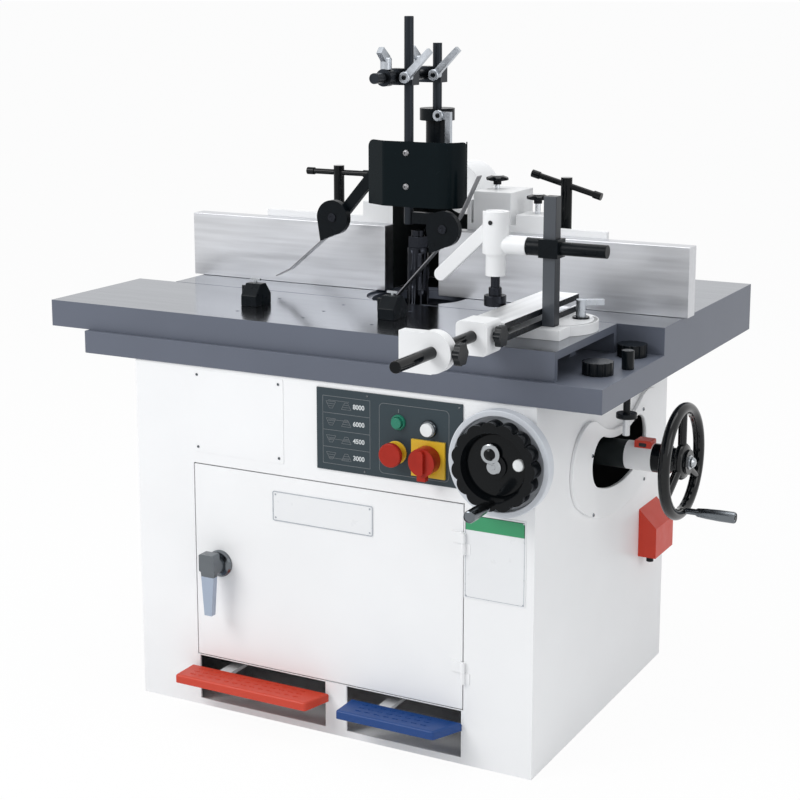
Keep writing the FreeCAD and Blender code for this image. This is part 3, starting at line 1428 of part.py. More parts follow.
def guard():
    spot = ("mast_x", "mast_y")
    tube = cylinder("sleeve_tube", "sleeve_radius", "sleeve_top - hood_top", spot + ("hood_top",))
    flange = cylinder("sleeve_head", "sleeve_flange", "sleeve_top - sleeve_flange_low",
                      spot + ("sleeve_flange_low",))
    bore = cylinder("sleeve_bore", "mast_radius + run_gap", "2*sleeve_top - 2*hood_top",
                    spot + ("hood_top - 1",))
    lever = hanging_lever("sleeve_lever", ("mast_x + sleeve_lever_in", "mast_y - sleeve_lever_in + 1",
                                           "sleeve_flange_low/2 + sleeve_top/2"))
    keep("mast_sleeve", cut("mast_sleeve", fuse("mast_sleeve", [tube, flange, lever]), [bore]))

    rod = cylinder("mast_rod", "mast_radius", "mast_top - mast_low", spot + ("mast_low",))
    low = "bar_z - clamp_half_height"
    high = "bar_z + clamp_half_height"
    head = span("mast_clamp", ("-clamp_side_left", "mast_y - clamp_half_depth", low),
                ("clamp_side_right", "mast_y + clamp_half_depth", high))
    hole = cylinder("mast_clamp_hole", "bar_radius + run_gap", "4*clamp_half_depth",
                    ("-bar_x", "mast_y - 2*clamp_half_depth", "bar_z"), ALONG_Y)
    lever = front_lever("mast_lever", "mast_y - clamp_half_depth + 1")
    keep("guard_mast", cut("guard_mast", fuse("guard_mast", [rod, head, lever]), [hole]))

    bar = cylinder("bar_rod", "bar_radius", "bar_front + bar_back", ("-bar_x", "-bar_front", "bar_z"),
                   ALONG_Y)
    collar = cylinder("bar_collar", "collar_radius", "collar_length",
                      ("-bar_x", "-collar_front", "bar_z"), ALONG_Y)
    block = span("post_clamp", ("-clamp_side_left", "-post_y - clamp_half_depth", low),
                 ("clamp_side_right", "-post_y + clamp_half_depth", high))
    bore = cylinder("post_clamp_hole", "mast_radius + run_gap", "4*clamp_half_height",
                    ("mast_x", "-post_y", "bar_z - 2*clamp_half_height"))
    levers = [front_lever("post_lever", "-post_y - clamp_half_depth + 1"),
              top_lever("bar_lever", "-stud_y"), top_lever("back_lever", "stud_back_y")]
    keep("cross_bar", cut("cross_bar", fuse("cross_bar", [bar, collar, block] + levers), [bore]))
    keep("guard_post", cylinder("guard_rod", "mast_radius", "post_top - post_low",
                                ("mast_x", "-post_y", "post_low")))

    face = number("shield_y")
    thick = number("shield_thick")
    left = (-number("shield_left_reach"), -face + number("shield_left_back"))
    bend = (-number("shield_flat_left"), -face)
    turn = (number("shield_flat_right"), -face)
    right_back = number("shield_right_back")
    right_out = number("shield_right_reach - shield_flat_right")
    bow = [(turn[0] + right_out * math.sin(angle), -face + right_back * (1 - math.cos(angle)))
           for angle in (math.pi * step / 16 for step in range(1, 9))]
    outline = bent_sheet([left, bend, turn] + bow, thick)
    height = number("shield_top - shield_low")
    corner = number("shield_corner")
    sheet = slab_between([Vector(x, y, 0) for x, y in outline], Vector(0, 0, height))
    left_block = Part.makeBox(corner, face, corner, Vector(left[0], -face, height - corner))
    left_round = Part.makeCylinder(corner, face, Vector(left[0] + corner, -face, height - corner),
                                   Vector(0, 1, 0))
    end_y = -face + right_back
    right_block = Part.makeBox(2 * right_out, corner, corner,
                               Vector(turn[0], end_y - corner, height - corner))
    right_round = Part.makeCylinder(corner, 2 * right_out,
                                    Vector(turn[0], end_y - corner, height - corner), Vector(1, 0, 0))
    sheet = sheet.cut([left_block.cut(left_round), right_block.cut(right_round)])
    keep("guard_shield", shaped("guard_shield", sheet, ("0", "0", "shield_low")))


def hold_downs():
    round_radius = number("shoe_round")
    thick = number("shoe_thick")

    def shoe():
        """A flat teardrop whose tip points down and to the left."""
        disc = Part.makeCylinder(round_radius, thick, Vector(), Vector(0, 1, 0))
        tip = Vector(-number("shoe_tip_out"), 0, -number("shoe_tip_down"))
        corners = [Vector(-round_radius, 0, 0), tip, Vector(round_radius * 0.6, 0, -round_radius * 0.8)]
        wedge = Part.Face(Part.makePolygon(corners + corners[:1])).extrude(Vector(0, thick, 0))
        return disc.fuse(wedge).removeSplitter()

    arm_back = number("arm_thick")
    back = -number("left_shoe_front") + thick
    left = shoe()
    left.translate(Vector(-number("left_shoe_x"), -number("left_shoe_front"), number("left_shoe_z")))
    half = number("arm_height") / 2
    knee = Vector(-number("shield_left_reach"), back, number("arm_z"))
    elbow = Vector(-number("left_shoe_x") + round_radius / 2, back, number("left_shoe_z") + half)
    along = knee - elbow
    along.normalize()
    across = Vector(-along.z, 0, along.x) * half
    ends = [elbow - across, knee - across, knee + across, elbow + across]
    sloped = Part.Face(Part.makePolygon(ends + ends[:1])).extrude(Vector(0, arm_back, 0))
    reach = number("mast_x + shield_left_reach + mast_radius")
    level = Part.makeBox(reach, arm_back, 2 * half, Vector(knee.x, back, knee.z - half))
    elbow_disc = Part.makeCylinder(half, arm_back, knee, Vector(0, 1, 0))
    boss_start = -number("post_y") + number("mast_radius")
    boss = Part.makeCylinder(number("mast_radius"), back - boss_start + arm_back / 2,
                             Vector(number("mast_x"), boss_start, knee.z), Vector(0, 1, 0))
    left = left.fuse([sloped, level, elbow_disc, boss]).removeSplitter()

    right = shoe()
    right.translate(Vector(number("right_shoe_x"), -number("right_shoe_front"), number("right_shoe_z")))
    right_back = -number("right_shoe_front") + thick
    start = number("mast_x + mast_radius")
    arm = Part.makeBox(number("right_shoe_x") - start, arm_back,
                       2 * half, Vector(start, right_back, number("right_shoe_z") + half / 2))
    right = right.fuse(arm).removeSplitter()
    keep("hold_downs", group("hold_downs", [shaped("hold_left", left), shaped("hold_right", right)]))

    def strip(points, front):
        outline = bent_sheet(points, number("strip_thick"))
        corners = [Vector(across, front, up) for across, up in outline]
        return slab_between(corners, Vector(0, number("strip_width"), 0))

    x = -number("left_shoe_x")
    z = number("left_shoe_z")
    tip_x = x - number("shoe_tip_out")
    tip_z = z - number("shoe_tip_down")
    lift = number("strip_lift")
    first = strip([
        (x + round_radius / 2, z - number("strip_seat")), (tip_x, tip_z + lift),
        (tip_x - number("strip_left_run"), tip_z - number("strip_left_fall")),
        (tip_x - number("strip_left_tip_run"), tip_z - number("strip_left_tip_fall"))], back)
    x = number("right_shoe_x")
    z = number("right_shoe_z")
    tip_x = x - number("shoe_tip_out")
    tip_z = z - number("shoe_tip_down")
    second = strip([
        (x + number("strip_right_end_run"), z + number("strip_right_end_rise")),
        (x + number("strip_right_bend_run"), z + number("strip_right_bend_rise")),
        (tip_x + lift, tip_z + lift),
        (tip_x - number("strip_right_run"), tip_z - number("strip_right_fall"))], right_back)
    keep("hold_strips", group("hold_strips", [shaped("strip_left", first), shaped("strip_right", second)]))


def wing_knob(name, spot):
    """A clamping screw seen from the right: a round hub across a flat wing with round ends."""
    reach = number("wing_radius")
    thick = number("wing_thick")
    out = number("wing_out")
    wide = number("wing_width")
    hub = Part.makeCylinder(number("wing_hub"), out, Vector(), Vector(1, 0, 0))
    disc = Part.makeCylinder(reach, thick, Vector(out - thick, 0, 0), Vector(1, 0, 0))
    strip = Part.makeBox(out, wide, 2 * reach, Vector(0, -wide / 2, -reach))
    return shaped(name, hub.fuse(disc.common(strip)).removeSplitter(), spot)


def mitre_lock(deck):
    """The lever that clamps the swivel: a stud on a washer with an arm to the right and back."""
    stud = Part.makeCylinder(number("lock_stud"), number("lock_rise"))
    washer = Part.makeCylinder(number("lock_washer"), number("lock_washer_thick"))
    wide = number("lock_arm_width")
    thick = number("lock_arm_thick")
    arm = Part.makeBox(number("lock_arm"), wide, thick,
                       Vector(0, -wide / 2, number("lock_rise") - thick))
    arm.rotate(Vector(), Vector(0, 0, 1), 30)
    return shaped("mitre_lock", stud.fuse([washer, arm]).removeSplitter(),
                  ("mitre_x + lock_across", "-mitre_y + lock_back", deck))


def mitre():
    low = "table_height + seat_gap"
    deck = "table_height + seat_gap + mitre_thick"
    disc = cylinder("mitre_disc", "mitre_radius", "mitre_thick", ("mitre_x", "-mitre_y", low))
    tongue = span("mitre_tongue", ("mitre_tongue_left", "-mitre_tongue_front", low),
                  ("mitre_tongue_right", "-mitre_y", deck))
    keep("mitre_base", fuse("mitre_base", [disc, tongue, mitre_lock(deck)]))

    beam = span("mitre_beam", ("beam_left", "-beam_start", deck),
                ("beam_right", "-beam_end", deck + " + beam_height"))
    end = span("mitre_end", ("end_left", "-end_front", "end_low"),
               ("end_right", "-beam_start", "end_top"))
    room = span("beam_room", ("beam_left + beam_wall", "-beam_start", deck + " + beam_wall"),
                ("beam_right - beam_wall", "-beam_end + beam_wall",
                 deck + " + beam_height - beam_wall"))
    slot = span("beam_side_slot", ("beam_right - 2*beam_wall", "-beam_start + beam_wall",
                                   deck + " + beam_height/2 - beam_slot/2"),
                ("beam_right + beam_wall", "0", deck + " + beam_height/2 + beam_slot/2"))
    bore = cylinder("end_bore", "rod_radius + run_gap", "2*end_front - 2*beam_start",
                    ("rod_x", "-end_front - 1", "rod_z"), ALONG_Y)
    wing = wing_knob("end_wing", ("end_right", "-end_front/2 - beam_start/2", "rod_z"))
    keep("mitre_bar", fuse("mitre_bar", [cut("beam_hollow", beam, [room, slot]),
                                         cut("end_bored", end, [bore]), wing]))
    keep("stop_rod", cylinder("stop_bar", "rod_radius", "rod_front - rod_back",
                              ("rod_x", "-rod_front", "rod_z"), ALONG_Y))
    round_end = cylinder("plate_end", "plate_round", "plate_thick",
                         ("rod_x", "-plate_front", "rod_z"), ALONG_Y)
    flat = span("plate_flat", ("plate_left", "-plate_front", "plate_low"),
                ("rod_x", "-plate_front + plate_thick", "plate_top"))
    hole = cylinder("plate_hole", "rod_radius + run_gap", "3*plate_thick",
                    ("rod_x", "-plate_front - plate_thick", "rod_z"), ALONG_Y)
    wing = wing_knob("plate_wing", ("rod_x + plate_round - 1", "-plate_front + plate_thick/2", "rod_z"))
    keep("stop_plate", cut("stop_plate", fuse("stop_plate", [round_end, flat, wing]), [hole]))


def clamp():
    deck = "table_height + seat_gap + mitre_thick"
    keep("clamp_post", span("clamp_post", ("beam_right", "-clamp_y - clamp_post/2", deck),
                            ("beam_right + clamp_post", "-clamp_y + clamp_post/2",
                             "clamp_post_top")))
    middle = "beam_right + clamp_post/2"
    block = span("clamp_block", (middle + " - clamp_block_half", "-clamp_y - clamp_block_half",
                                 "clamp_z - clamp_block_height/2"),
                 (middle + " + clamp_block_half", "-clamp_y + clamp_block_half",
                  "clamp_z + clamp_block_height/2"))
    bar = cylinder("clamp_rod", "clamp_bar", "clamp_bar_end - beam_right",
                   ("beam_right", "-clamp_y", "clamp_z"), ALONG_X)
    collar = cylinder("clamp_nut", "clamp_collar", "beam_right - clamp_collar_left",
                      ("clamp_collar_left", "-clamp_y", "clamp_z"), ALONG_X)
    hole = span("clamp_hole", ("beam_right - seat_gap", "-clamp_y - clamp_post/2 - seat_gap",
                               "clamp_z - clamp_block_height"),
                ("beam_right + clamp_post + seat_gap", "-clamp_y + clamp_post/2 + seat_gap",
                 "clamp_z + clamp_block_height"))
    keep("clamp_arm", cut("clamp_arm", fuse("clamp_arm", [block, bar, collar]), [hole]))

    body = cylinder("clamp_barrel", "clamp_body", "clamp_top - clamp_low",
                    ("clamp_x", "-clamp_y", "clamp_low"))
    neck = cylinder("clamp_neck_rod", "clamp_neck", "clamp_collar_left - clamp_x",
                    ("clamp_x", "-clamp_y", "clamp_z"), ALONG_X)
    fork = span("clamp_fork_room", ("clamp_x - 2*clamp_body", "-clamp_y - clamp_fork/2",
                                    "clamp_fork_low"),
                ("clamp_x + clamp_body*3/4", "-clamp_y + clamp_fork/2", "clamp_top + clamp_body"))
    stem_bore = cylinder("clamp_stem_bore", "stem_radius + run_gap", "stem_bore_depth + 1",
                         ("clamp_x", "-clamp_y", "clamp_low - 1"))
    keep("clamp_body", cut("clamp_body", fuse("clamp_body", [body, neck]), [fork, stem_bore]))

    stem = cylinder("stem_rod", "stem_radius", "stem_top - foot_low", ("clamp_x", "-clamp_y", "foot_low"))
    foot = cylinder("stem_foot", "foot_radius", "foot_high - foot_low",
                    ("clamp_x", "-clamp_y", "foot_low"))
    keep("clamp_stem", fuse("clamp_stem", [stem, foot]))

    thick = number("lever_thick")
    hub = number("lever_hub")
    half = number("lever_width") / 2
    tip = Vector(-number("lever_reach"), 0, -number("lever_drop"))
    along = Vector(tip)
    along.normalize()
    across = Vector(-along.z, 0, along.x)
    ends = [across * hub * 0.9, tip + across * half, tip - across * half, across * hub * -0.9]
    arm = Part.Face(Part.makePolygon(ends + ends[:1])).extrude(Vector(0, thick, 0))
    disc = Part.makeCylinder(hub, thick, Vector(), Vector(0, 1, 0))
    nose = Part.makeCylinder(half, thick, tip, Vector(0, 1, 0))
    lever = disc.fuse([arm, nose]).removeSplitter()
    keep("clamp_lever", shaped("clamp_lever", lever,
                               ("clamp_x", "-clamp_y - lever_thick/2", "lever_z")))


def build():
    cabinet()
    door()
    controls()
    pedals()
    tilt_drive()
    table()
    sliding_table()
    tilt_unit()
    spindle()
    height_drive()
    fence()
    guard()
    hold_downs()
    mitre()
    clamp()
    document.recompute()


def check_and_write():
    for item in document.Objects:
        if any(word in ("Invalid", "Error") for word in item.State):
            raise RuntimeError("%s did not recompute" % item.Name)
    os.makedirs("parts", exist_ok=True)
    for label, solid in pieces:
        shape = solid.Shape
        if shape.isNull() or not shape.isValid() or not shape.Solids:
            raise RuntimeError("%s has no sound solid" % label)
        print("%-18s solids %d volume %.0f" % (label, len(shape.Solids), shape.Volume))
        shape.exportStep("parts/%s.step" % label)


build()
check_and_write()
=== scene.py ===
# %% [markdown]
# A spindle moulder is a floor-standing woodworking machine. A cutter on a tilting spindle stands up
# through a cast table, a split fence guides the wood past it, and a sliding table carries short pieces.
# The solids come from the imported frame. This lesson gives them edges, finishes and the small fittings
# that a photograph of such a machine shows.

# %% Load the frame
import json
import math

import bmesh
import bpy
from mathutils import Matrix, Vector


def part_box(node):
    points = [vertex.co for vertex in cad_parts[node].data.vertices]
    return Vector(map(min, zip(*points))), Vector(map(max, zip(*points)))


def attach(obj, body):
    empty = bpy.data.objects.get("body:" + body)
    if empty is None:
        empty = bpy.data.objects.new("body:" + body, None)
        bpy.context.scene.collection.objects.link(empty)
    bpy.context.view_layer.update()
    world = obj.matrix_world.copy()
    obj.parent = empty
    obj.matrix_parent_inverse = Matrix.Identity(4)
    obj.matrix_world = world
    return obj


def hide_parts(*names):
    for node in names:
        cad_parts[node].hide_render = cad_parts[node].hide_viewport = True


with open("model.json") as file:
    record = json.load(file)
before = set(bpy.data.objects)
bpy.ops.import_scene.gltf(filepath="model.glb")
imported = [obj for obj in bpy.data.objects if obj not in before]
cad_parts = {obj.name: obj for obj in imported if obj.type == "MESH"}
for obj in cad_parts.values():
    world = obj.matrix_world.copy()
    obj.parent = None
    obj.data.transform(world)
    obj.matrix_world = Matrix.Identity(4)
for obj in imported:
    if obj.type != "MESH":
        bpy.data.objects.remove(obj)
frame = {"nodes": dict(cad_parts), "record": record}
nodes = frame["nodes"]
body_of = {node: body for body, members in frame["record"]["behaviour"]["bodies"].items()
           for node in members}
slot_of = {part["node"]: part["material_slot"] for part in frame["record"]["subparts"]}
MM = 0.001


def box_mm(node):
    """A node's lowest and highest corners in millimetres, the unit that this lesson draws in."""
    low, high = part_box(node)
    return Vector(low) / MM, Vector(high) / MM


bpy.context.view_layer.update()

# %% [markdown]
# The camera stands to the front right, about as high as a person's eyes, with a long lens. Its place was
# worked out from the straight edges of the cabinet and the table. The small shift sets the machine at
# the right height in the square picture.

# %% Camera
LOOK_DOWN, LOOK_LEFT = 10.847, 28.014


def put(name, data):
    """A new object in the scene for a mesh, a curve, a lamp or a camera."""
    thing = bpy.data.objects.new(name, data)
    bpy.context.scene.collection.objects.link(thing)
    return thing


camera_data = bpy.data.cameras.new("studio_camera")
camera_data.lens = 76.24
camera_data.sensor_width = 36.0
camera_data.shift_y = -0.1
camera_data.clip_end = 900.0
camera = put("studio_camera", camera_data)
camera.location = (1.6736, -3.1911, 1.4968)
camera.rotation_euler = (math.radians(90 - LOOK_DOWN), 0.0, math.radians(LOOK_LEFT))
bpy.context.scene.camera = camera
print("camera", tuple(camera.location))

# %% [markdown]
# The studio is a pale paper floor with soft lamps. A catalogue picture stands on pure white, and more
# light would bleach the machine, so the backdrop is made white only for rays that look at it: the
# camera's own, and those that leave a mirror or a glass. The light that falls on the machine stays at
# a plain level.

# %% Nodes, and the rays that look at the backdrop


def node_tree(owner):
    owner.use_nodes = True
    tree = owner.node_tree
    tree.nodes.clear()
    return tree


def add_node(tree, kind, inputs=None, **settings):
    """A new node whose inputs each get a plain value, or a link from another node's socket."""
    node = tree.nodes.new(kind)
    for name, value in settings.items():
        setattr(node, name, value)
    for name, value in (inputs or {}).items():
        if isinstance(value, bpy.types.NodeSocket):
            tree.links.new(value, node.inputs[name])
        else:
            node.inputs[name].default_value = value
    return node


def seen_rays(tree):
    """One for camera, mirror and glass rays, and nought for the light that reaches the object."""
    path = add_node(tree, "ShaderNodeLightPath")
    seen = path.outputs["Is Camera Ray"]
    for kind in ("Is Glossy Ray", "Is Transmission Ray"):
        either = add_node(tree, "ShaderNodeMath", {0: seen, 1: path.outputs[kind]}, operation="MAXIMUM")
        seen = either.outputs[0]
    return seen


def mix_shaders(tree, share, first, second):
    mix = add_node(tree, "ShaderNodeMixShader", {0: share, 1: first.outputs[0], 2: second.outputs[0]})
    return mix.outputs[0]


# %% [markdown]
# A studio's walls send soft light from all round. The world does that here, and it is seen as plain white
# while it lights the machine less strongly: two backgrounds, mixed by the kind of ray.

# %% Backdrop


def light_backdrop(strength):
    world = bpy.data.worlds.new("studio_backdrop")
    bpy.context.scene.world = world
    tree = node_tree(world)
    soft = add_node(tree, "ShaderNodeBackground", {"Color": (0.95, 0.97, 1.0, 1), "Strength": strength})
    white = add_node(tree, "ShaderNodeBackground", {"Color": (1, 1, 1, 1), "Strength": 1.0})
    add_node(tree, "ShaderNodeOutputWorld", {"Surface": mix_shaders(tree, seen_rays(tree), soft, white)})


light_backdrop(0.5)
print("backdrop ready")

# %% [markdown]
# The floor is one large sheet. A plain matte one would look grey next to the backdrop, so most of what the
# camera sees of it is a white glow, and the rest takes a faint shadow.

# %% Floor


def pale_floor(reach, white_share):
    """A sheet of paper that looks white to the camera and still takes a faint shadow."""
    mesh = bpy.data.meshes.new("studio_floor")
    mesh.from_pydata([(-reach, -reach, 0), (reach, -reach, 0), (reach, reach, 0), (-reach, reach, 0)],
                     [], [(0, 1, 2, 3)])
    paper = bpy.data.materials.new("floor_paper")
    tree = node_tree(paper)
    share = add_node(tree, "ShaderNodeMath", {0: seen_rays(tree), 1: white_share}, operation="MULTIPLY")
    matte = add_node(tree, "ShaderNodeBsdfDiffuse", {"Color": (0.93, 0.93, 0.93, 1)})
    glow = add_node(tree, "ShaderNodeEmission", {"Strength": 1.0})
    add_node(tree, "ShaderNodeOutputMaterial",
             {"Surface": mix_shaders(tree, share.outputs[0], matte, glow)})
    mesh.materials.append(paper)
    floor = put("studio_floor", mesh)


pale_floor(400.0, 0.95)
print("floor ready")

# %% [markdown]
# Three square lamps stand for soft boxes: a strong one at the front left, a weak one on the right and one
# above. A large lamp gives the soft edge of shadow that a point lamp can't.

# %% Lamps


def soft_lamp(name, place, aim, size, power):
    data = bpy.data.lights.new(name, "AREA")
    data.shape = "SQUARE"
    data.size = size
    data.energy = power
    lamp = put(name, data)
    lamp.location = place
    lamp.rotation_euler = (Vector(aim) - Vector(place)).to_track_quat("-Z", "Y").to_euler()


soft_lamp("key_lamp", (-2.2, -3.4, 3.4), (0, -0.2, 0.7), 2.4, 112)
soft_lamp("side_lamp", (3.6, -0.8, 2.2), (0.2, 0, 0.6), 2.0, 24)
soft_lamp("top_lamp", (0.2, 0.6, 4.0), (0, 0, 0.8), 2.6, 46)
bpy.context.scene.view_settings.view_transform = "Standard"
print("lamps ready")

# %% [markdown]
# Every finish is a small tree of nodes laid on the object's own coordinates. A noise texture gives the
# slow change of tone that paint has, a finer one its orange peel, and a stretched one the strokes of a
# grinder. The shader's own sockets keep what is the same all over the surface.

# %% Parts of a finish


def start_finish(base, rough, metal=0.0, coat=0.0, shine=0.5):
    finish = bpy.data.materials.new("finish")
    tree = node_tree(finish)
    shader = add_node(tree, "ShaderNodeBsdfPrincipled", {
        "Base Color": (*base, 1), "Roughness": rough, "Metallic": metal, "Specular IOR Level": shine,
        "Coat Weight": coat, "Coat Roughness": 0.08})
    add_node(tree, "ShaderNodeOutputMaterial", {"Surface": shader.outputs[0]})
    return finish, tree, shader, add_node(tree, "ShaderNodeTexCoord")


def spread(tree, where, scale, detail=3.0, stretch=(1, 1, 1)):
    """Noise laid on the object's own coordinates, drawn out along chosen axes."""
    mapping = add_node(tree, "ShaderNodeMapping", {"Scale": stretch, "Vector": where.outputs["Object"]})
    noise = add_node(tree, "ShaderNodeTexNoise",
                     {"Scale": scale, "Detail": detail, "Vector": mapping.outputs[0]})
    return noise.outputs["Fac"]


def ramp(tree, source, low, high):
    blend = add_node(tree, "ShaderNodeValToRGB", {"Fac": source})
    for element, place, colour in zip(blend.color_ramp.elements, (0.3, 0.7), (low, high)):
        element.position = place
        element.color = (*colour, 1)
    return blend.outputs["Color"]


def span_value(tree, source, low, high):
    reach = add_node(tree, "ShaderNodeMapRange", {"Value": source, "From Min": 0.25, "From Max": 0.75,
                                                  "To Min": low, "To Max": high})
    return reach.outputs["Result"]


def raise_bump(tree, shader, source, strength, depth):
    bump = add_node(tree, "ShaderNodeBump", {"Strength": strength, "Distance": depth, "Height": source})
    tree.links.new(bump.outputs["Normal"], shader.inputs["Normal"])


def shade(colour, amount):
    return tuple(min(1.0, channel * amount) for channel in colour)


print("finish parts ready")

# %% [markdown]
# Five families cover the machine: sprayed sheet metal, sand castings, ground or brushed metal, bright
# plating and moulded plastic. One function lays the noises for all of them, and a family only says
# how coarse and how strong each is. Black paint on such a machine is deep, so its mirror share is low.

# %% Families of finish


def layered(colour, rough, tone, gloss, grain=None, stretch=(1, 1, 1), **shader_settings):
    """Tone moves the colour, gloss the roughness and grain the surface: scale, detail, two amounts."""
    finish, tree, shader, where = start_finish(colour, rough, **shader_settings)
    scale, detail, darkest, lightest = tone
    blend = ramp(tree, spread(tree, where, scale, detail, stretch),
                 shade(colour, darkest), shade(colour, lightest))
    tree.links.new(blend, shader.inputs["Base Color"])
    scale, detail, smoother, rougher = gloss
    wear = span_value(tree, spread(tree, where, scale, detail, stretch), rough - smoother, rough + rougher)
    tree.links.new(wear, shader.inputs["Roughness"])
    if grain:
        scale, detail, strength, depth = grain
        raise_bump(tree, shader, spread(tree, where, scale, detail, stretch), strength, depth)
    return finish


def sprayed_paint(colour, rough=0.38, peel=0.06, coat=0.1, shine=0.4):
    return layered(colour, rough, (3.0, 3.0, 0.97, 1.02), (40.0, 3.0, 0.05, 0.07),
                   (420.0, 2.0, peel, 0.0004), coat=coat, shine=shine)


def sand_casting(colour, rough=0.5, grain=0.25, shine=0.3):
    return layered(colour, rough, (60.0, 4.0, 0.85, 1.12), (35.0, 3.0, 0.06, 0.08),
                   (300.0, 4.0, grain, 0.0006), shine=shine)


def brushed_metal(colour, rough=0.3, stretch=(1, 1, 1), marks=0.015):
    return layered(colour, rough, (90.0, 4.0, 0.92, 1.05), (90.0, 4.0, 0.06, 0.08),
                   (90.0, 4.0, marks, 0.0002), stretch, metal=1.0)


def bright_plate(colour=(0.72, 0.74, 0.77), rough=0.12):
    return layered(colour, rough, (45.0, 3.0, 0.95, 1.02), (25.0, 3.0, 0.04, 0.08), metal=1.0)


def moulded_plastic(colour, rough=0.35, grain=0.1, shine=0.35):
    return layered(colour, rough, (30.0, 3.0, 0.92, 1.06), (50.0, 3.0, 0.04, 0.06),
                   (700.0, 2.0, grain, 0.0002), shine=shine)


print("five families of finish")

# %% [markdown]
# The table is one casting with two finishes: a ground working face on top and grey paint on its sides
# and on the low ledge in front. Splitting the mesh would work, but the face's own direction already
# tells the two apart, so one material reads the normal and the height and mixes the finishes.

# %% Ground table top
PAINT_GREY = (0.118, 0.132, 0.168)
FACING_UP, TOP_LEVEL = 0.9, 0.849


def table_finish(ground):
    finish, tree, shader, where = start_finish(PAINT_GREY, 0.36, shine=0.4)
    tests = []
    for kind, limit in (("Normal", FACING_UP), ("Object", TOP_LEVEL)):
        axes = add_node(tree, "ShaderNodeSeparateXYZ", {0: where.outputs[kind]})
        test = add_node(tree, "ShaderNodeMath", {0: axes.outputs["Z"], 1: limit}, operation="GREATER_THAN")
        tests.append(test.outputs[0])
    top = add_node(tree, "ShaderNodeMath", dict(enumerate(tests)), operation="MULTIPLY").outputs[0]
    strokes = spread(tree, where, 60.0, 3.0, (0.05, 1, 1))
    patches = spread(tree, where, 5.0)
    colour = add_node(tree, "ShaderNodeMix", {
        "Factor": top, "A": ramp(tree, patches, shade(PAINT_GREY, 0.96), shade(PAINT_GREY, 1.04)),
        "B": ramp(tree, strokes, shade(ground, 0.94), shade(ground, 1.04))}, data_type="RGBA")
    gloss = add_node(tree, "ShaderNodeMapRange", {"Value": top, "To Min": 0.4, "To Max": 0.15})
    for label, source in (("Base Color", colour.outputs["Result"]), ("Metallic", top),
                          ("Roughness", gloss.outputs["Result"])):
        tree.links.new(source, shader.inputs[label])
    shader.inputs["Specular Tint"].default_value = (0.75, 0.76, 0.78, 1)
    raise_bump(tree, shader, spread(tree, where, 260.0, 2.0), 0.03, 0.0002)
    return finish


print("ground above", TOP_LEVEL, "and paint below")

# %% [markdown]
# Each slot that the record names gets one finish. A colour is a linear share of red, green and blue, and
# the first number after it is the roughness: low for polished plastic, high for rubber. White paint
# stays a little under full white, so that its lit and shaded sides still differ.

# %% Finishes by slot
WHITE = (0.90, 0.905, 0.91)
BLACK = (0.004, 0.006, 0.008)
finishes = {
    "cabinet_paint": sprayed_paint(WHITE, 0.34),
    "panel_black": sprayed_paint((0.030, 0.046, 0.056), 0.42, shine=0.25),
    "pedal_red": sprayed_paint((0.58, 0.055, 0.028), 0.4, shine=0.25),
    "pedal_blue": sprayed_paint((0.012, 0.055, 0.210), 0.4, shine=0.25),
    "box_red": sprayed_paint((0.62, 0.050, 0.026), 0.4, shine=0.25),
    "fence_metal": brushed_metal((0.60, 0.61, 0.635), 0.34, (0.05, 1, 1)),
    "white_casting": sprayed_paint((0.86, 0.868, 0.875), 0.40, 0.14),
    "black_casting": sand_casting(BLACK, 0.28, 0.08, 0.1),
    "black_plastic": moulded_plastic(BLACK, 0.2, shine=0.18),
    "button_green": moulded_plastic((0.020, 0.200, 0.125), 0.28),
    "button_red": moulded_plastic((0.37, 0.020, 0.010), 0.3, shine=0.2),
    "dark_steel": brushed_metal((0.026, 0.030, 0.036), 0.34, (1, 1, 0.1)),
    "bright_steel": brushed_metal((0.52, 0.53, 0.55), 0.26, (1, 1, 0.1)),
    "chrome_steel": bright_plate(),
    "lever_grey": sprayed_paint((0.36, 0.42, 0.52), 0.34),
    "machine_iron": sand_casting((0.13, 0.14, 0.16)),
    "motor_grey": sprayed_paint((0.16, 0.19, 0.23)),
    "belt_rubber": moulded_plastic((0.014, 0.014, 0.014), 0.7),
    "table_iron": table_finish((0.44, 0.45, 0.47)),
}
print("finishes", len(finishes))

# %% [markdown]
# A few fittings have a finish of their own that no slot of the record names, such as a yellow switch
# plate or the printed lines of the control panel. They are mixed from the same families.

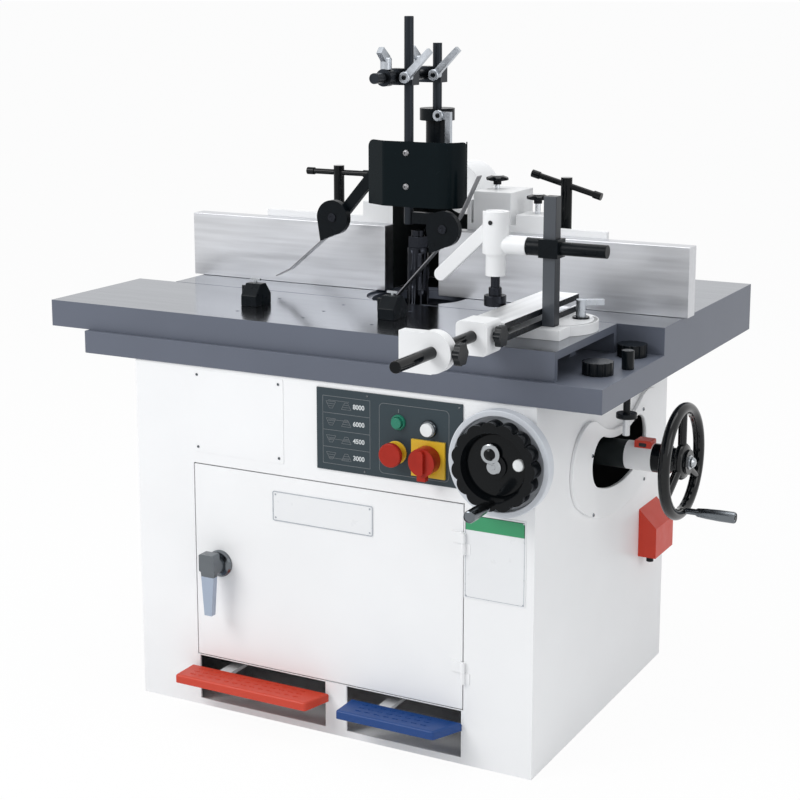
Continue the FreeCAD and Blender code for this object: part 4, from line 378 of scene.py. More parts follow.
# %% Finishes of small fittings
fittings = {
    "gloss_black": moulded_plastic((0.003, 0.004, 0.005), 0.08, 0.02, 0.16),
    "wheel_black": moulded_plastic((0.004, 0.005, 0.006), 0.07, 0.02, 0.32),
    "shield_black": sprayed_paint((0.002, 0.006, 0.008), 0.22, 0.03, 0.0, 0.08),
    # Painted shade: a dark finish for the inner faces of the cabinet's sheets, which lie in shade.
    "inside_dark": sprayed_paint((0.030, 0.031, 0.033), 0.6, 0.04, 0.0, 0.2),
    "bar_bright": brushed_metal((0.80, 0.81, 0.82), 0.4, (1, 0.05, 1)),
    # Painted shade: a near-black finish for the inside of the fence hood and for the drive tube inside the
    # cabinet, where shade falls.
    "hood_black": sand_casting((0.016, 0.020, 0.021), 0.6, 0.2, 0.15),
    "soft_chrome": bright_plate((0.40, 0.42, 0.44), 0.2),
    "dark_chrome": bright_plate((0.16, 0.175, 0.19), 0.16),
    "lever_silver": brushed_metal((0.46, 0.49, 0.53), 0.3),
    "ring_steel": brushed_metal((0.024, 0.026, 0.032), 0.22, (1, 1, 0.2)),
    "spring_steel": brushed_metal((0.24, 0.24, 0.25), 0.34),
    "housing_grey": sprayed_paint((0.64, 0.67, 0.715), 0.36),
    # Painted highlight: a lighter grey for the clamp post's front face, where light falls on the dark post.
    "post_grey": sprayed_paint((0.060, 0.068, 0.080), 0.36),
    "switch_yellow": moulded_plastic((0.72, 0.46, 0.025), 0.36),
    "lamp_white": moulded_plastic((0.82, 0.84, 0.84), 0.16, 0.02),
    "plate_white": sprayed_paint((0.84, 0.85, 0.86), 0.3, 0.02),
    "plate_green": sprayed_paint((0.035, 0.30, 0.13), 0.34, 0.02),
    "print_grey": moulded_plastic((0.17, 0.185, 0.195), 0.5, 0.02),
    "print_white": moulded_plastic((0.62, 0.65, 0.66), 0.5, 0.02),
    "scale_ink": moulded_plastic((0.03, 0.032, 0.036), 0.5, 0.02),
    "window_dark": moulded_plastic((0.012, 0.014, 0.016), 0.08, 0.01),
}
for word, finish in (finishes | fittings).items():
    finish.name = word
print("fitting finishes", len(fittings))

# %% [markdown]
# Solids come out of the frame with knife edges. Real castings and folded sheets have small rounds that
# catch the light, so each shown node is copied, its triangles are merged into flat faces, and a narrow
# bevel is run along its sharp edges. A bevel alone would bend the shading of the flat faces, so each
# corner's normal is weighted by the area of its faces.

# %% Rounded edges


def find_finish(word):
    return finishes.get(word) or fittings[word]


def add_piece(name, mesh, body, slot=None, words=None):
    """Puts a finished mesh in the scene, with its finishes by name, on the body that carries it."""
    piece = put(name, mesh)
    mesh.materials.clear()
    for word in words or [slot]:
        mesh.materials.append(find_finish(word))
    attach(piece, body)
    return piece


def smooth_by_angle(mesh, degrees=35):
    for face in mesh.polygons:
        face.use_smooth = True
    mesh.set_sharp_from_angle(angle=math.radians(degrees))


def take_mesh(carrier):
    """The plain mesh that a carrier object's modifiers give. The carrier goes."""
    graph = bpy.context.evaluated_depsgraph_get()
    mesh = bpy.data.meshes.new_from_object(carrier.evaluated_get(graph))
    carrier.modifiers.clear()
    bpy.data.objects.remove(carrier)
    return mesh


def mesh_of(builder, name="shape"):
    mesh = bpy.data.meshes.new(name)
    builder.to_mesh(mesh)
    builder.free()
    return mesh


def weigh_normals(mesh):
    """Hands back the mesh with big faces shaded flat and only the rounds shaded round."""
    carrier = put("normals_carrier", mesh)
    weigher = carrier.modifiers.new("weigh", "WEIGHTED_NORMAL")
    weigher.keep_sharp = True
    return take_mesh(carrier)


def finish_mesh(builder, name):
    mesh = mesh_of(builder)
    smooth_by_angle(mesh)
    mesh = weigh_normals(mesh)
    mesh.name = name
    return mesh


def merge_flat(builder):
    bmesh.ops.remove_doubles(builder, verts=builder.verts, dist=1e-6)
    bmesh.ops.dissolve_limit(builder, angle_limit=math.radians(1), verts=builder.verts,
                             edges=builder.edges)


def round_edges(builder, width, segments=2, chosen=None, sharpest=30):
    sharp = [edge for edge in builder.edges
             if len(edge.link_faces) == 2 and edge.calc_face_angle(0) > math.radians(sharpest)
             and (chosen is None or chosen((edge.verts[0].co + edge.verts[1].co) / 2))]
    if sharp:
        bmesh.ops.bevel(builder, geom=sharp, offset=width, segments=segments, affect="EDGES",
                        profile=0.5, clamp_overlap=True)


print("edge tools ready")

# %% [markdown]
# Many pieces carry two finishes: a white casting with a black knob, or a black bar with silver levers.
# The copy is cut where the paint changes if no edge runs there, and each face takes the first zone
# whose test it passes. A test looks at the face's centre in millimetres and at its direction.

# %% Softened copies with zones
SQUARE_ON = 0.9


def soften(node, width, zones=(), cuts=(), main=None, chosen=None, big_rounds=None, reshape=None):
    builder = bmesh.new()
    builder.from_mesh(nodes[node].data)
    merge_flat(builder)
    for spot, facing in cuts:
        everything = builder.verts[:] + builder.edges[:] + builder.faces[:]
        bmesh.ops.bisect_plane(builder, geom=everything, dist=1e-6, plane_co=Vector(spot) * MM,
                               plane_no=facing)
    for corner in builder.verts if reshape else ():
        corner.co = reshape(corner.co / MM) * MM
    if big_rounds:
        round_edges(builder, big_rounds[0] * MM, 5, big_rounds[1], 10)
    round_edges(builder, width * MM, 2, chosen)
    mesh = finish_mesh(builder, node + "_shape")
    words = [main or slot_of[node]] + [word for word, test in zones]
    piece = add_piece(node + "_shape", mesh, body_of[node], slot_of[node], words)
    for face in mesh.polygons:
        for number, (word, test) in enumerate(zones, 1):
            if test(face.center / MM, face.normal):
                face.material_index = number
                break
    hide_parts(node)
    return piece


def near(spot, reach):
    """A test for faces within a reach of an upright axis."""
    return lambda centre, facing: math.hypot(centre.x - spot[0], centre.y - spot[1]) < reach


def looks_along(way):
    """A test for faces that look squarely along an axis."""
    return lambda centre, facing: facing.dot(Vector(way)) > SQUARE_ON


for node in nodes:
    nodes[node].data.materials.clear()
    nodes[node].data.materials.append(finishes[slot_of[node]])
print("finish on every node", len(nodes))

# %% [markdown]
# The plain castings and rods need only a round of a width that suits each: two millimetres on the heavy
# table and fence, less on thin sheet. A second list adds a finish where it isn't the slot's own.

# %% Plain softened pieces
SOFT_WIDTHS = {
    "table": 2, "sliding_table": 2, "stop_blocks": 1.5, "fence_left": 1.5, "fence_right": 1.5,
    "slot_cover": 2, "start_button": 1.5, "stop_button": 2.5, "isolator_knob": 2.5,
    "hold_downs": 2, "clamp_arm": 1.2, "clamp_lever": 2,
    "guard_post": 1.5, "ledge_knob_front": 2, "ledge_knob_back": 2,
}
OTHER_FINISHES = {
    "hold_strips": (0.4, "spring_steel"), "arbor_stack": (0.8, "ring_steel"), "arbor": (0.8, "ring_steel"),
    "tilt_housing": (2, "housing_grey"), "tilt_wheel": (2.5, "gloss_black"),
    "height_wheel": (1.5, "wheel_black"), "clamp_stem": (1.2, "ring_steel"), "stop_rod": (2, "gloss_black"),
    "t_handle_left": (2, "gloss_black"), "t_handle_right": (2, "gloss_black"),
}
SHIELD_FOLDS, SHIELD_LEVEL, FOLD_REACH = (-80.0, 120.0), 1127.0, 12.0


def on_fold(middle):
    """The two upright bends of the guard's sheet."""
    across, deep, up = middle / MM
    return SHIELD_FOLDS[0] < across < SHIELD_FOLDS[1] and abs(up - SHIELD_LEVEL) < FOLD_REACH


for node, width in SOFT_WIDTHS.items():
    soften(node, width)
for node, (width, word) in OTHER_FINISHES.items():
    soften(node, width, main=word)
soften("guard_shield", 0.6, main="shield_black", big_rounds=(5, on_fold))
print("softened", len(SOFT_WIDTHS) + len(OTHER_FINISHES) + 1)

# %% [markdown]
# The cabinet is folded sheet. Only the edges at its face are rounded, because a round on the seams
# between the sheets would show as a groove that a welded cabinet doesn't have.

# %% Cabinet front and door
FRONT = box_mm("control_panel")[1].y


def at_the_face(middle):
    return middle.y / MM < FRONT + 1.0


# The front sheet's inner face takes the dark painted shade of the cabinet's inside.
soften("cabinet_front", 1.0, chosen=at_the_face, zones=[("inside_dark", looks_along((0, 1, 0)))])
soften("door", 1.0, chosen=at_the_face)
print("front at", FRONT)

# %% [markdown]
# Inside, such a cabinet is a dark hole: it is lit only through its slots. That shade is painted on:
# the inner faces of the sheets get a dark finish, told from the outer ones by the way they look.

# %% Cabinet inside
INWARD = {"cabinet_left": (1, 0, 0), "cabinet_right": (-1, 0, 0), "cabinet_back": (0, -1, 0)}
for node, way in INWARD.items():
    soften(node, 0.5, chosen=lambda middle: False, zones=[("inside_dark", looks_along(way))])
print("dark inside", len(INWARD))

# %% [markdown]
# The door handle is a plated boss with a lever of painted zinc. Its paint starts just below the boss,
# so the copy is cut there.

# %% Door handle
HANDLE_X, HANDLE_Z = -255.0, 326.0
soften("door_latch", 1.2, cuts=[((0, 0, HANDLE_Z - 16), (0, 0, 1))],
       zones=[("dark_chrome", lambda centre, facing: centre.z > HANDLE_Z - 16.2)])
print("handle at", HANDLE_X, HANDLE_Z)

# %% [markdown]
# The control panel is one black sheet that holds a yellow square under the main switch and a white pilot
# lamp. Both are part of the panel's solid, and are told apart by where they stand.

# %% Control panel
PANEL_FACE = FRONT - 3.0
LAMP, LAMP_REACH = (237.0, 677.0), 13.5
SWITCH, SWITCH_HALF = (236.5, 617.0), 37.0


def on_lamp(centre, facing):
    return centre.y < PANEL_FACE - 0.3 and math.hypot(centre.x - LAMP[0], centre.z - LAMP[1]) < LAMP_REACH


def on_switch_plate(centre, facing):
    return (centre.y < PANEL_FACE - 0.1 and abs(centre.x - SWITCH[0]) < SWITCH_HALF
            and abs(centre.z - SWITCH[1]) < SWITCH_HALF)


soften("control_panel", 0.8, zones=[("lamp_white", on_lamp), ("switch_yellow", on_switch_plate)])
print("panel face at", PANEL_FACE)

# %% [markdown]
# The treads are red and blue, and the straps that carry them through the gates are white. The red
# terminal box has a black gland below it.

# %% Pedals and terminal box
STRAP_FROM, TREAD_NOSE = FRONT - 5.0, FRONT - 73.0
TREAD_RIM, TREAD_SKIRT, GLAND_TOP = 91.5, 75.0, 282.8


def on_tread_edge(middle):
    """The pressed edges of a tread: all round its top and down its front corners."""
    across, deep, up = middle / MM
    return deep < STRAP_FROM + 1 and (up > TREAD_RIM or (deep < TREAD_NOSE and up > TREAD_SKIRT))


for node in ("brake_pedal", "lock_pedal"):
    soften(node, 0.8, big_rounds=(5, on_tread_edge),
           zones=[("white_casting", lambda centre, facing: centre.y > STRAP_FROM)])
soften("terminal_box", 1.5, zones=[("black_plastic", lambda centre, facing: centre.z < GLAND_TOP)])
print("pedals and box done")

# %% [markdown]
# The height drive comes out through the arc slot: a white tube that ends in a black collar at the
# handwheel. Where it runs inside the cabinet it lies in shade, and that shade is painted on as a dark
# finish. The tube is one solid, so it is cut at the two places where the finish changes.

# %% Height drive tube
TUBE_WHITE_FROM, TUBE_WHITE_TO = 492.0, 550.0
soften("height_tube", 1.5,
       cuts=[((TUBE_WHITE_FROM, 0, 0), (1, 0, 0)), ((TUBE_WHITE_TO, 0, 0), (1, 0, 0))],
       # Painted shade: the part inside the cabinet is dark because it lies in shade there.
       zones=[("hood_black", lambda centre, facing: centre.x < TUBE_WHITE_FROM),
              ("gloss_black", lambda centre, facing: centre.x > TUBE_WHITE_TO)])
print("tube white between", TUBE_WHITE_FROM, TUBE_WHITE_TO)

# %% [markdown]
# The fence body is a white casting with a dust hood. Its inside lies in deep shade, and that shade is
# painted on as a near-black finish. A face belongs to the inside when its centre lies within the hood's
# walls.

# %% Fence body and its knobs
HOOD_INSIDE = ((-105.0, 81.0), (-1000.0, 293.0), (851.0, 1053.0))
STAR_STUDS, STUD_REACH = ((122.0, 180.0), (228.0, 160.0)), 6.7
COLLAR_FOOT = 696.5


def inside_hood(centre, facing):
    return all(low < at < high for at, (low, high) in zip(centre, HOOD_INSIDE))


# The hood's inner faces take painted shade.
soften("fence_hood", 2, zones=[("hood_black", inside_hood)])
soften("star_knobs", 1.5, zones=[("chrome_steel", near(stud, STUD_REACH)) for stud in STAR_STUDS])
soften("ledge_pin", 1.0,
       zones=[("bright_steel", lambda centre, facing: centre.z < COLLAR_FOOT),
              ("black_plastic", lambda centre, facing: centre.z > COLLAR_FOOT)])
print("fence body done")

# %% [markdown]
# The guard hangs on a mast with a cross bar. Each clamp on it has a cast lever, silver against the dark
# rods. The levers are the faces that stand in front of a clamp or above the bar.

# %% Guard mast, cross bar and levers
MAST, SLEEVE_REACH, MAST_LEVER = (14.0, 100.0), 38.4, 83.5
BAR_TOP, BAR_LEVER_LEFT, BAR_LEVER_BACK = 1348.6, 10.0, -48.6


def beyond_sleeve(centre, facing):
    return math.hypot(centre.x - MAST[0], centre.y - MAST[1]) > SLEEVE_REACH


def on_bar_lever(centre, facing):
    return centre.z > BAR_TOP or (centre.y < BAR_LEVER_BACK and centre.x > BAR_LEVER_LEFT)


soften("mast_sleeve", 1.2, zones=[("lever_silver", beyond_sleeve)])
soften("guard_mast", 1.2, zones=[("lever_silver", lambda centre, facing: centre.y < MAST_LEVER)])
soften("cross_bar", 1.2, zones=[("lever_silver", on_bar_lever)])
print("guard done")

# %% [markdown]
# The mitre fence is a bright box bar on a white swivel base. Its side has a black slotted strip, its end
# block is white, and black wing screws hold the rod and the stop. The swivel's lock is a silver
# lever on a black washer.

# %% Mitre fence and clamp
SWIVEL_LOCK, WASHER_REACH = (445.0, -121.0), 18.0
WASHER_LOW, WASHER_HIGH, LOCK_FOOT = 870.6, 875.5, 871.5
END_FRONT, END_BACK, END_LEVEL, END_HALF = -464.0, -406.0, 883.5, 30.0
BAR_END, BAR_SIDE, KNOB_FROM, PLATE_SIDE = -405.0, 402.0, 402.4, 408.4


def on_washer(centre, facing):
    return WASHER_LOW < centre.z < WASHER_HIGH and near(SWIVEL_LOCK, WASHER_REACH)(centre, facing)


def on_end_block_run(middle):
    """The four long corners of the end block, which are cast round."""
    across, deep, up = middle / MM
    return END_FRONT < deep < END_BACK and abs(up - END_LEVEL) > END_HALF


soften("mitre_base", 1.5, zones=[("black_plastic", on_washer),
                                 ("lever_silver", lambda centre, facing: centre.z > LOCK_FOOT)])
soften("mitre_bar", 1.2, main="bar_bright", big_rounds=(9, on_end_block_run),
       zones=[("black_plastic", lambda centre, facing: centre.y < BAR_END and centre.x > KNOB_FROM),
              ("white_casting", lambda centre, facing: centre.y < BAR_END),
              ("black_casting", lambda centre, facing: centre.x > BAR_SIDE and facing.x > SQUARE_ON)])
soften("stop_plate", 2.5, zones=[("black_plastic", lambda centre, facing: centre.x > PLATE_SIDE)])
# The post's front face takes a painted highlight, lighter than the rest of the dark post.
soften("clamp_post", 1.2, zones=[("post_grey", looks_along((0, -1, 0)))])
print("mitre done")

# %% [markdown]
# The clamp's barrel is turned down below its neck, where the screw comes out. The solid is one plain
# cylinder there, so its copy is cut twice, close together, and the points below are drawn in.

# %% Clamp barrel
CLAMP = (304.0, -220.0)
BARREL_STEP = 1004.0
BARREL_RADIUS, TURNED_DOWN = 26.0, 19.5


def turn_down(corner):
    out = Vector((corner.x - CLAMP[0], corner.y - CLAMP[1], 0))
    if corner.z > BARREL_STEP - 1 or out.length < BARREL_RADIUS - 2:
        return corner
    return corner - out * (1 - TURNED_DOWN / BARREL_RADIUS)


soften("clamp_body", 2, cuts=[((0, 0, BARREL_STEP), (0, 0, 1)), ((0, 0, BARREL_STEP - 3), (0, 0, 1))],
       reshape=turn_down)
print("barrel radius", BARREL_RADIUS, "to", TURNED_DOWN)

# %% [markdown]
# The small fittings are drawn flat, in millimetres, and laid on a face of the machine by a matrix: the
# front, the back, a side or the top. A plate is an outline raised to a thickness, a ring is two outlines
# with a wall between them, and a turned piece is a profile spun about its axis.

# %% Drawing tools
FACES = {"front": ((1, 0, 0), (0, 0, 1), (0, -1, 0)), "right": ((0, 1, 0), (0, 0, 1), (1, 0, 0)),
         "top": ((1, 0, 0), (0, 1, 0), (0, 0, 1)), "left": ((0, -1, 0), (0, 0, 1), (-1, 0, 0)),
         "back": ((-1, 0, 0), (0, 0, 1), (0, 1, 0))}


def stand_on(face, spot):
    """A matrix that lays a drawing on one face: across, up and out become the machine's axes."""
    turn = Matrix(FACES[face]).transposed().to_4x4()
    return Matrix.Translation(Vector(spot) * MM) @ turn @ Matrix.Scale(MM, 4)


def rounded_rectangle(left, low, right, high, corner, steps=6):
    outline = []
    for across, up, start in ((right, low, -90), (right, high, 0), (left, high, 90), (left, low, 180)):
        middle = (across + math.copysign(corner, left + right - 2 * across),
                  up + math.copysign(corner, low + high - 2 * up))
        for step in range(steps + 1):
            angle = math.radians(start + 90 * step / steps)
            outline.append((middle[0] + corner * math.cos(angle), middle[1] + corner * math.sin(angle)))
    return outline


def slab(builder, outline, low, high):
    """Raises a closed outline, drawn anticlockwise, from one height to another."""
    foot = [builder.verts.new((across, up, low)) for across, up in outline]
    head = [builder.verts.new((across, up, high)) for across, up in outline]
    builder.faces.new(head)
    builder.faces.new(foot[::-1])
    for at in range(len(outline)):
        after = (at + 1) % len(outline)
        builder.faces.new((foot[at], foot[after], head[after], head[at]))


def hoop(builder, outer, inner, low, high):
    """A flat ring between two outlines with the same number of points."""
    rows = [[builder.verts.new((across, up, level)) for across, up in edge]
            for edge, level in ((outer, low), (outer, high), (inner, high), (inner, low))]
    for at in range(len(outer)):
        after = (at + 1) % len(outer)
        for row, following in zip(rows, rows[1:] + rows[:1]):
            builder.faces.new((row[at], row[after], following[after], following[at]))


def spin(builder, outline, steps=40, closed=False):
    """Turns pairs of radius and height about the way out; a radius of nought closes an end."""
    rings = []
    for radius, height in outline:
        count = steps if radius else 1
        rings.append([builder.verts.new((radius * math.cos(math.tau * at / steps),
                                         radius * math.sin(math.tau * at / steps), height))
                      for at in range(count)])
    for ring, following in zip(rings, rings[1:] + (rings[:1] if closed else [])):
        for at in range(steps):
            after = (at + 1) % steps
            corners = (ring[at % len(ring)], ring[after % len(ring)],
                       following[after % len(following)], following[at % len(following)])
            builder.faces.new(tuple(dict.fromkeys(corners)))


print("drawing tools ready")

# %% [markdown]
# Three makers use the tools: a plate with rounded corners, a turned piece, and a joiner that puts
# several shapes of one finish into one object.

# %% Makers of plates and turned pieces


def placed(builder, face, spot, edge=0.0, segments=2):
    if edge:
        round_edges(builder, edge, segments)
    builder.transform(stand_on(face, spot))
    return mesh_of(builder)


def plate(face, spot, width, height, thick, corner, edge=0.4):
    """A plate from its lower left corner."""
    builder = bmesh.new()
    slab(builder, rounded_rectangle(0, 0, width, height, corner), 0, thick)
    return placed(builder, face, spot, edge)


def turned(face, spot, outline, steps=40, closed=False):
    builder = bmesh.new()
    spin(builder, outline, steps, closed)
    return placed(builder, face, spot)


def join(name, shapes, body, word, slot=None):
    builder = bmesh.new()
    for shape in shapes:
        builder.from_mesh(shape)
    return add_piece(name, finish_mesh(builder, name), body, slot, [word])


print("makers ready")

# %% [markdown]
# Three plates are fixed to the front: a cover over the wiring to the left of the panel, a blank plate on
# the door, and a blank notice plate beside the door with a green band along its top. They carry
# no words. They could be painted on, but real plates stand a millimetre proud and throw a fine
# line of shadow, so they are modelled.

# %% Plates on the front
COVER = (-315.0, 562.0, 220.0, 176.0)
DOOR_PLATE = (-123.0, 440.0, 234.0, 63.0)
NOTICE = (312.0, 348.0, 131.0, 172.0)
BAND, MARGIN = 30.0, 3.0
SHEET = 1.2


def front_plate(name, box, node, word, slot=None, corner=3.0, thick=SHEET, lift=0.0, edge=0.4):
    """A plate on the cabinet's front, from a box of left, low, width and height."""
    left, low, width, height = box
    shape = plate("front", (left, FRONT - lift, low), width, height, thick, corner, edge)
    join(name, [shape], body_of[node], word, slot)


front_plate("wiring_cover", COVER, "cabinet_front", "cabinet_paint", "cabinet_paint")
front_plate("door_plate", DOOR_PLATE, "door", "plate_white", corner=4)
front_plate("notice_plate", NOTICE, "cabinet_front", "plate_white", corner=2)
front_plate("notice_band", (NOTICE[0] + MARGIN, NOTICE[1] + NOTICE[3] - BAND - MARGIN,
                            NOTICE[2] - 2 * MARGIN, BAND),
            "cabinet_front", "plate_green", corner=1, thick=0.3, lift=SHEET, edge=0)
print("plates on the front")

# %% [markdown]
# A thin steel rim frames the door plate and a fine line the notice plate. Each is a ring between two
# rounded outlines.

# %% Rim of the door plate


def rim(name, box, node, corner, line, thick):
    left, low, width, height = box
    builder = bmesh.new()
    hoop(builder, rounded_rectangle(0, 0, width, height, corner),
         rounded_rectangle(line, line, width - line, height - line, max(corner - line, 0.5)), 0, thick)
    join(name, [placed(builder, "front", (left, FRONT - SHEET, low))], body_of[node], "lever_silver")


rim("door_plate_rim", DOOR_PLATE, "door", 4, 2.0, 0.6)
rim("notice_line", (NOTICE[0] + MARGIN, NOTICE[1] + MARGIN, NOTICE[2] - 2 * MARGIN, NOTICE[3] - 2 * MARGIN),
    "cabinet_front", 1.5, 1.0, 0.3)
print("door plate rim and notice line")

# %% [markdown]
# Under the table a shallow rib stiffens the casting behind the spindle's bore, between the two long ribs.
# It also keeps daylight from the rear overhang out of the bore.

# %% Rib behind the bore
RIB_LEFT, RIB_RIGHT, RIB_BACK = -211.5, 187.5, 202.0
RIB_FOOT, TABLE_UNDERSIDE, RIB_THICK = 790.0, 826.0, 12.0
join("table_cross_rib", [plate("front", (RIB_LEFT, RIB_BACK, RIB_FOOT), RIB_RIGHT - RIB_LEFT,
                               TABLE_UNDERSIDE - RIB_FOOT, RIB_THICK, 1, 0.5)],
     body_of["table"], "table_iron", "table_iron")
print("rib from", RIB_LEFT, "to", RIB_RIGHT)

# %% [markdown]
# The panel's print is white ink. On the left a table of four rows shows which belt step gives which
# speed: two cone pulleys drawn as stripes, a line for the belt between them, and a plain number.
# On the right a line with round corners frames the buttons. Each stroke is a thin raised bar, so that
# the print is still there in an exported mesh.

# %% Strokes of ink
INK = 0.25
STROKE, FINE_STROKE = 0.9, 0.7
STEP_PITCH = 4.6


def stroke(builder, start, end, width=STROKE):
    start, end = Vector(start), Vector(end)
    run = (end - start).normalized()
    side = Vector((-run.y, run.x)) * width / 2
    slab(builder, [start - side, end - side, end + side, start + side], 0, INK)


def cone_pulley(builder, middle, foot, widths):
    """A stepped pulley from the side: a thin stripe for each step between two slanted lines."""
    top = foot + STEP_PITCH * (len(widths) - 1)
    for side in (-0.5, 0.5):
        stroke(builder, (middle + side * widths[0], foot), (middle + side * widths[-1], top), FINE_STROKE)
    for at, width in enumerate(widths):
        level = foot + STEP_PITCH * at
        stroke(builder, (middle - width / 2, level), (middle + width / 2, level), FINE_STROKE)


def plain_number(text, size, spot):
    """A number turned from a text curve into a mesh, before it is laid on the panel."""
    curve = bpy.data.curves.new("speed_number", "FONT")
    curve.body = text
    curve.size = size
    curve.offset = 0.35
    curve.extrude = INK / 2
    mesh = take_mesh(put("speed_number", curve))
    mesh.transform(stand_on("front", (spot[0], PANEL_FACE, spot[1])))
    return mesh


print("ink tools ready")

# %% [markdown]
# The chart is drawn row by row with these tools. All its strokes go into one mesh and the numbers into
# another, because the lines are thinner and look greyer than the figures.

# %% Panel print
CHART = (-1.0, 579.0, 107.0, 718.0)
FRAME_LINE = (127.0, 575.0, 280.0, 717.0)
SPEEDS = ("3000", "4500", "6000", "8000")
STEPS = (7.0, 12.0, 17.0, 22.0)
LEFT_PULLEY, RIGHT_PULLEY, BELT_LEFT, BELT_RIGHT = 18.0, 53.0, 12.0, 59.0
NUMBER_LEFT, NUMBER_SIZE, MARK = 68.0, 13.0, ((170.0, 701.0), (170.0, 708.0))
row_height = (CHART[3] - CHART[1]) / len(SPEEDS)
builder = bmesh.new()
for box, corner in ((CHART, 1.2), (FRAME_LINE, 10.0)):
    inset = (box[0] + STROKE, box[1] + STROKE, box[2] - STROKE, box[3] - STROKE)
    hoop(builder, rounded_rectangle(*box, corner), rounded_rectangle(*inset, max(corner - STROKE, 0.3)),
         0, INK)
for row, speed in enumerate(SPEEDS):
    foot = CHART[1] + row_height * row
    if row:
        stroke(builder, (CHART[0], foot), (CHART[2], foot))
    steps_foot = foot + row_height / 2 - 7.5
    cone_pulley(builder, LEFT_PULLEY, steps_foot, STEPS)
    cone_pulley(builder, RIGHT_PULLEY, steps_foot, STEPS[::-1])
    belt_level = steps_foot + STEP_PITCH * (row + 0.5)
    stroke(builder, (BELT_LEFT, belt_level), (BELT_RIGHT, belt_level), FINE_STROKE)
stroke(builder, *MARK, 1.6)
lines = placed(builder, "front", (0, PANEL_FACE, 0))
numbers = [plain_number(speed, NUMBER_SIZE, (NUMBER_LEFT, CHART[1] + row_height * (row + 0.5) - 4.0))
           for row, speed in enumerate(SPEEDS)]
join("panel_print", [lines], body_of["control_panel"], "print_grey")
join("panel_numbers", numbers, body_of["control_panel"], "print_white")
print("rows on the chart", len(SPEEDS))

# %% [markdown]
# Bought-in buttons come with a collar each: a green ring round the green one, a dark ring round the lamp
# and a yellow disc under the red stop. They are turned profiles. The main switch gets a ridge to grip.

# %% Button collars
START, STOP = (170.0, 682.0), (165.0, 621.0)
COLLARS = {
    "start_collar": (START, "button_green", [(11.8, 0), (15.5, 0), (15.5, 2.5), (14.2, 5), (11.8, 5)]),
    "lamp_collar": (LAMP, "dark_chrome", [(13.3, 0), (17.5, 0), (17.5, 3), (15.5, 6), (13.3, 6)]),
    "stop_collar": (STOP, "switch_yellow", [(11.6, 0), (23, 0), (23, 1.6), (21.5, 3), (11.6, 3)]),
}
for name, (spot, word, outline) in COLLARS.items():
    join(name, [turned("front", (spot[0], PANEL_FACE, spot[1]), outline, closed=True)],
         body_of["control_panel"], word, word if word in finishes else None)
KNOB_FACE = box_mm("isolator_knob")[0].y
RIDGE_WIDE, RIDGE_HIGH, RIDGE_DEEP = 14.0, 48.0, 7.0
ridge_corner = (SWITCH[0] - RIDGE_WIDE / 2, KNOB_FACE, SWITCH[1] - RIDGE_HIGH / 2)
join("isolator_ridge", [plate("front", ridge_corner, RIDGE_WIDE, RIDGE_HIGH, RIDGE_DEEP, 6.5, 2.5)],
     body_of["isolator_knob"], "button_red", "button_red")
print("collars", len(COLLARS), "ridge", 1)

# %% [markdown]
# The door handle turns on a plated rosette that stays with the door. Its head is a thick plated block.

# %% Handle rosette and head
join("handle_rosette", [turned("front", (HANDLE_X, FRONT, HANDLE_Z),
                               [(18.6, 0), (29, 0), (29, 4), (26, 8), (18.6, 10)], closed=True)],
     body_of["door"], "dark_chrome")
HEAD_WIDE, HEAD_HIGH, HEAD_DEEP, HEAD_OUT, HEAD_BELOW = 36.0, 38.0, 24.0, 30.0, 5.0
head_corner = (HANDLE_X - HEAD_WIDE / 2, FRONT - HEAD_OUT, HANDLE_Z - HEAD_BELOW)
join("handle_head", [plate("front", head_corner, HEAD_WIDE, HEAD_HIGH, HEAD_DEEP, 4, 3)],
     body_of["door_latch"], "dark_chrome")
print("rosette and head")

# %% [markdown]
# The dished tilt wheel has a glossy face ring, a plated bolt in its hub, a plated index knob with a dark
# cap beside it and a white button. All turn with the wheel.

# %% Fittings of the tilt wheel
TILT, INDEX, BUTTON = (398.0, 635.0), (391.0, 659.0), (447.0, 643.5)
HUB_FACE, WEB_FACE = FRONT - 53.0, FRONT - 39.0
INDEX_KNOB = [(0, -1), (15, -1), (15, 13), (19.5, 14.5), (19.5, 18.5), (17.5, 20), (12, 20), (12, 18),
              (0, 18)]
wheel_body = body_of["tilt_wheel"]
join("tilt_face", [turned("front", (TILT[0], WEB_FACE, TILT[1]),
                          [(24.2, -0.5), (57.6, -0.5), (60.3, 7), (56, 8.5), (24.2, 9.5)], 60, True)],
     wheel_body, "gloss_black")
join("tilt_hub_bolt", [
    turned("front", (TILT[0], HUB_FACE, TILT[1]),
           [(0, -1), (15, -1), (15, 3), (13, 5), (5, 5), (4, 4), (0, 4)]),
    turned("front", (INDEX[0], WEB_FACE, INDEX[1]), INDEX_KNOB)],
     wheel_body, "soft_chrome")
join("tilt_button", [turned("front", (BUTTON[0], WEB_FACE, BUTTON[1]),
                            [(0, 5), (11.5, 5), (11.5, 14), (10, 16), (0, 16.5)])], wheel_body, "lamp_white")
join("tilt_index_cap", [turned("front", (INDEX[0], WEB_FACE - 18, INDEX[1]),
                               [(0, 0), (11, 0), (11, 2.5), (8, 5), (0, 6)])], wheel_body, "gloss_black")
print("tilt wheel fittings", 5)

# %% [markdown]
# A counter on the drive tube shows the spindle's height: a red housing with a dark window. The handwheel
# is held by a plated domed nut, and a ring stands round its hub.

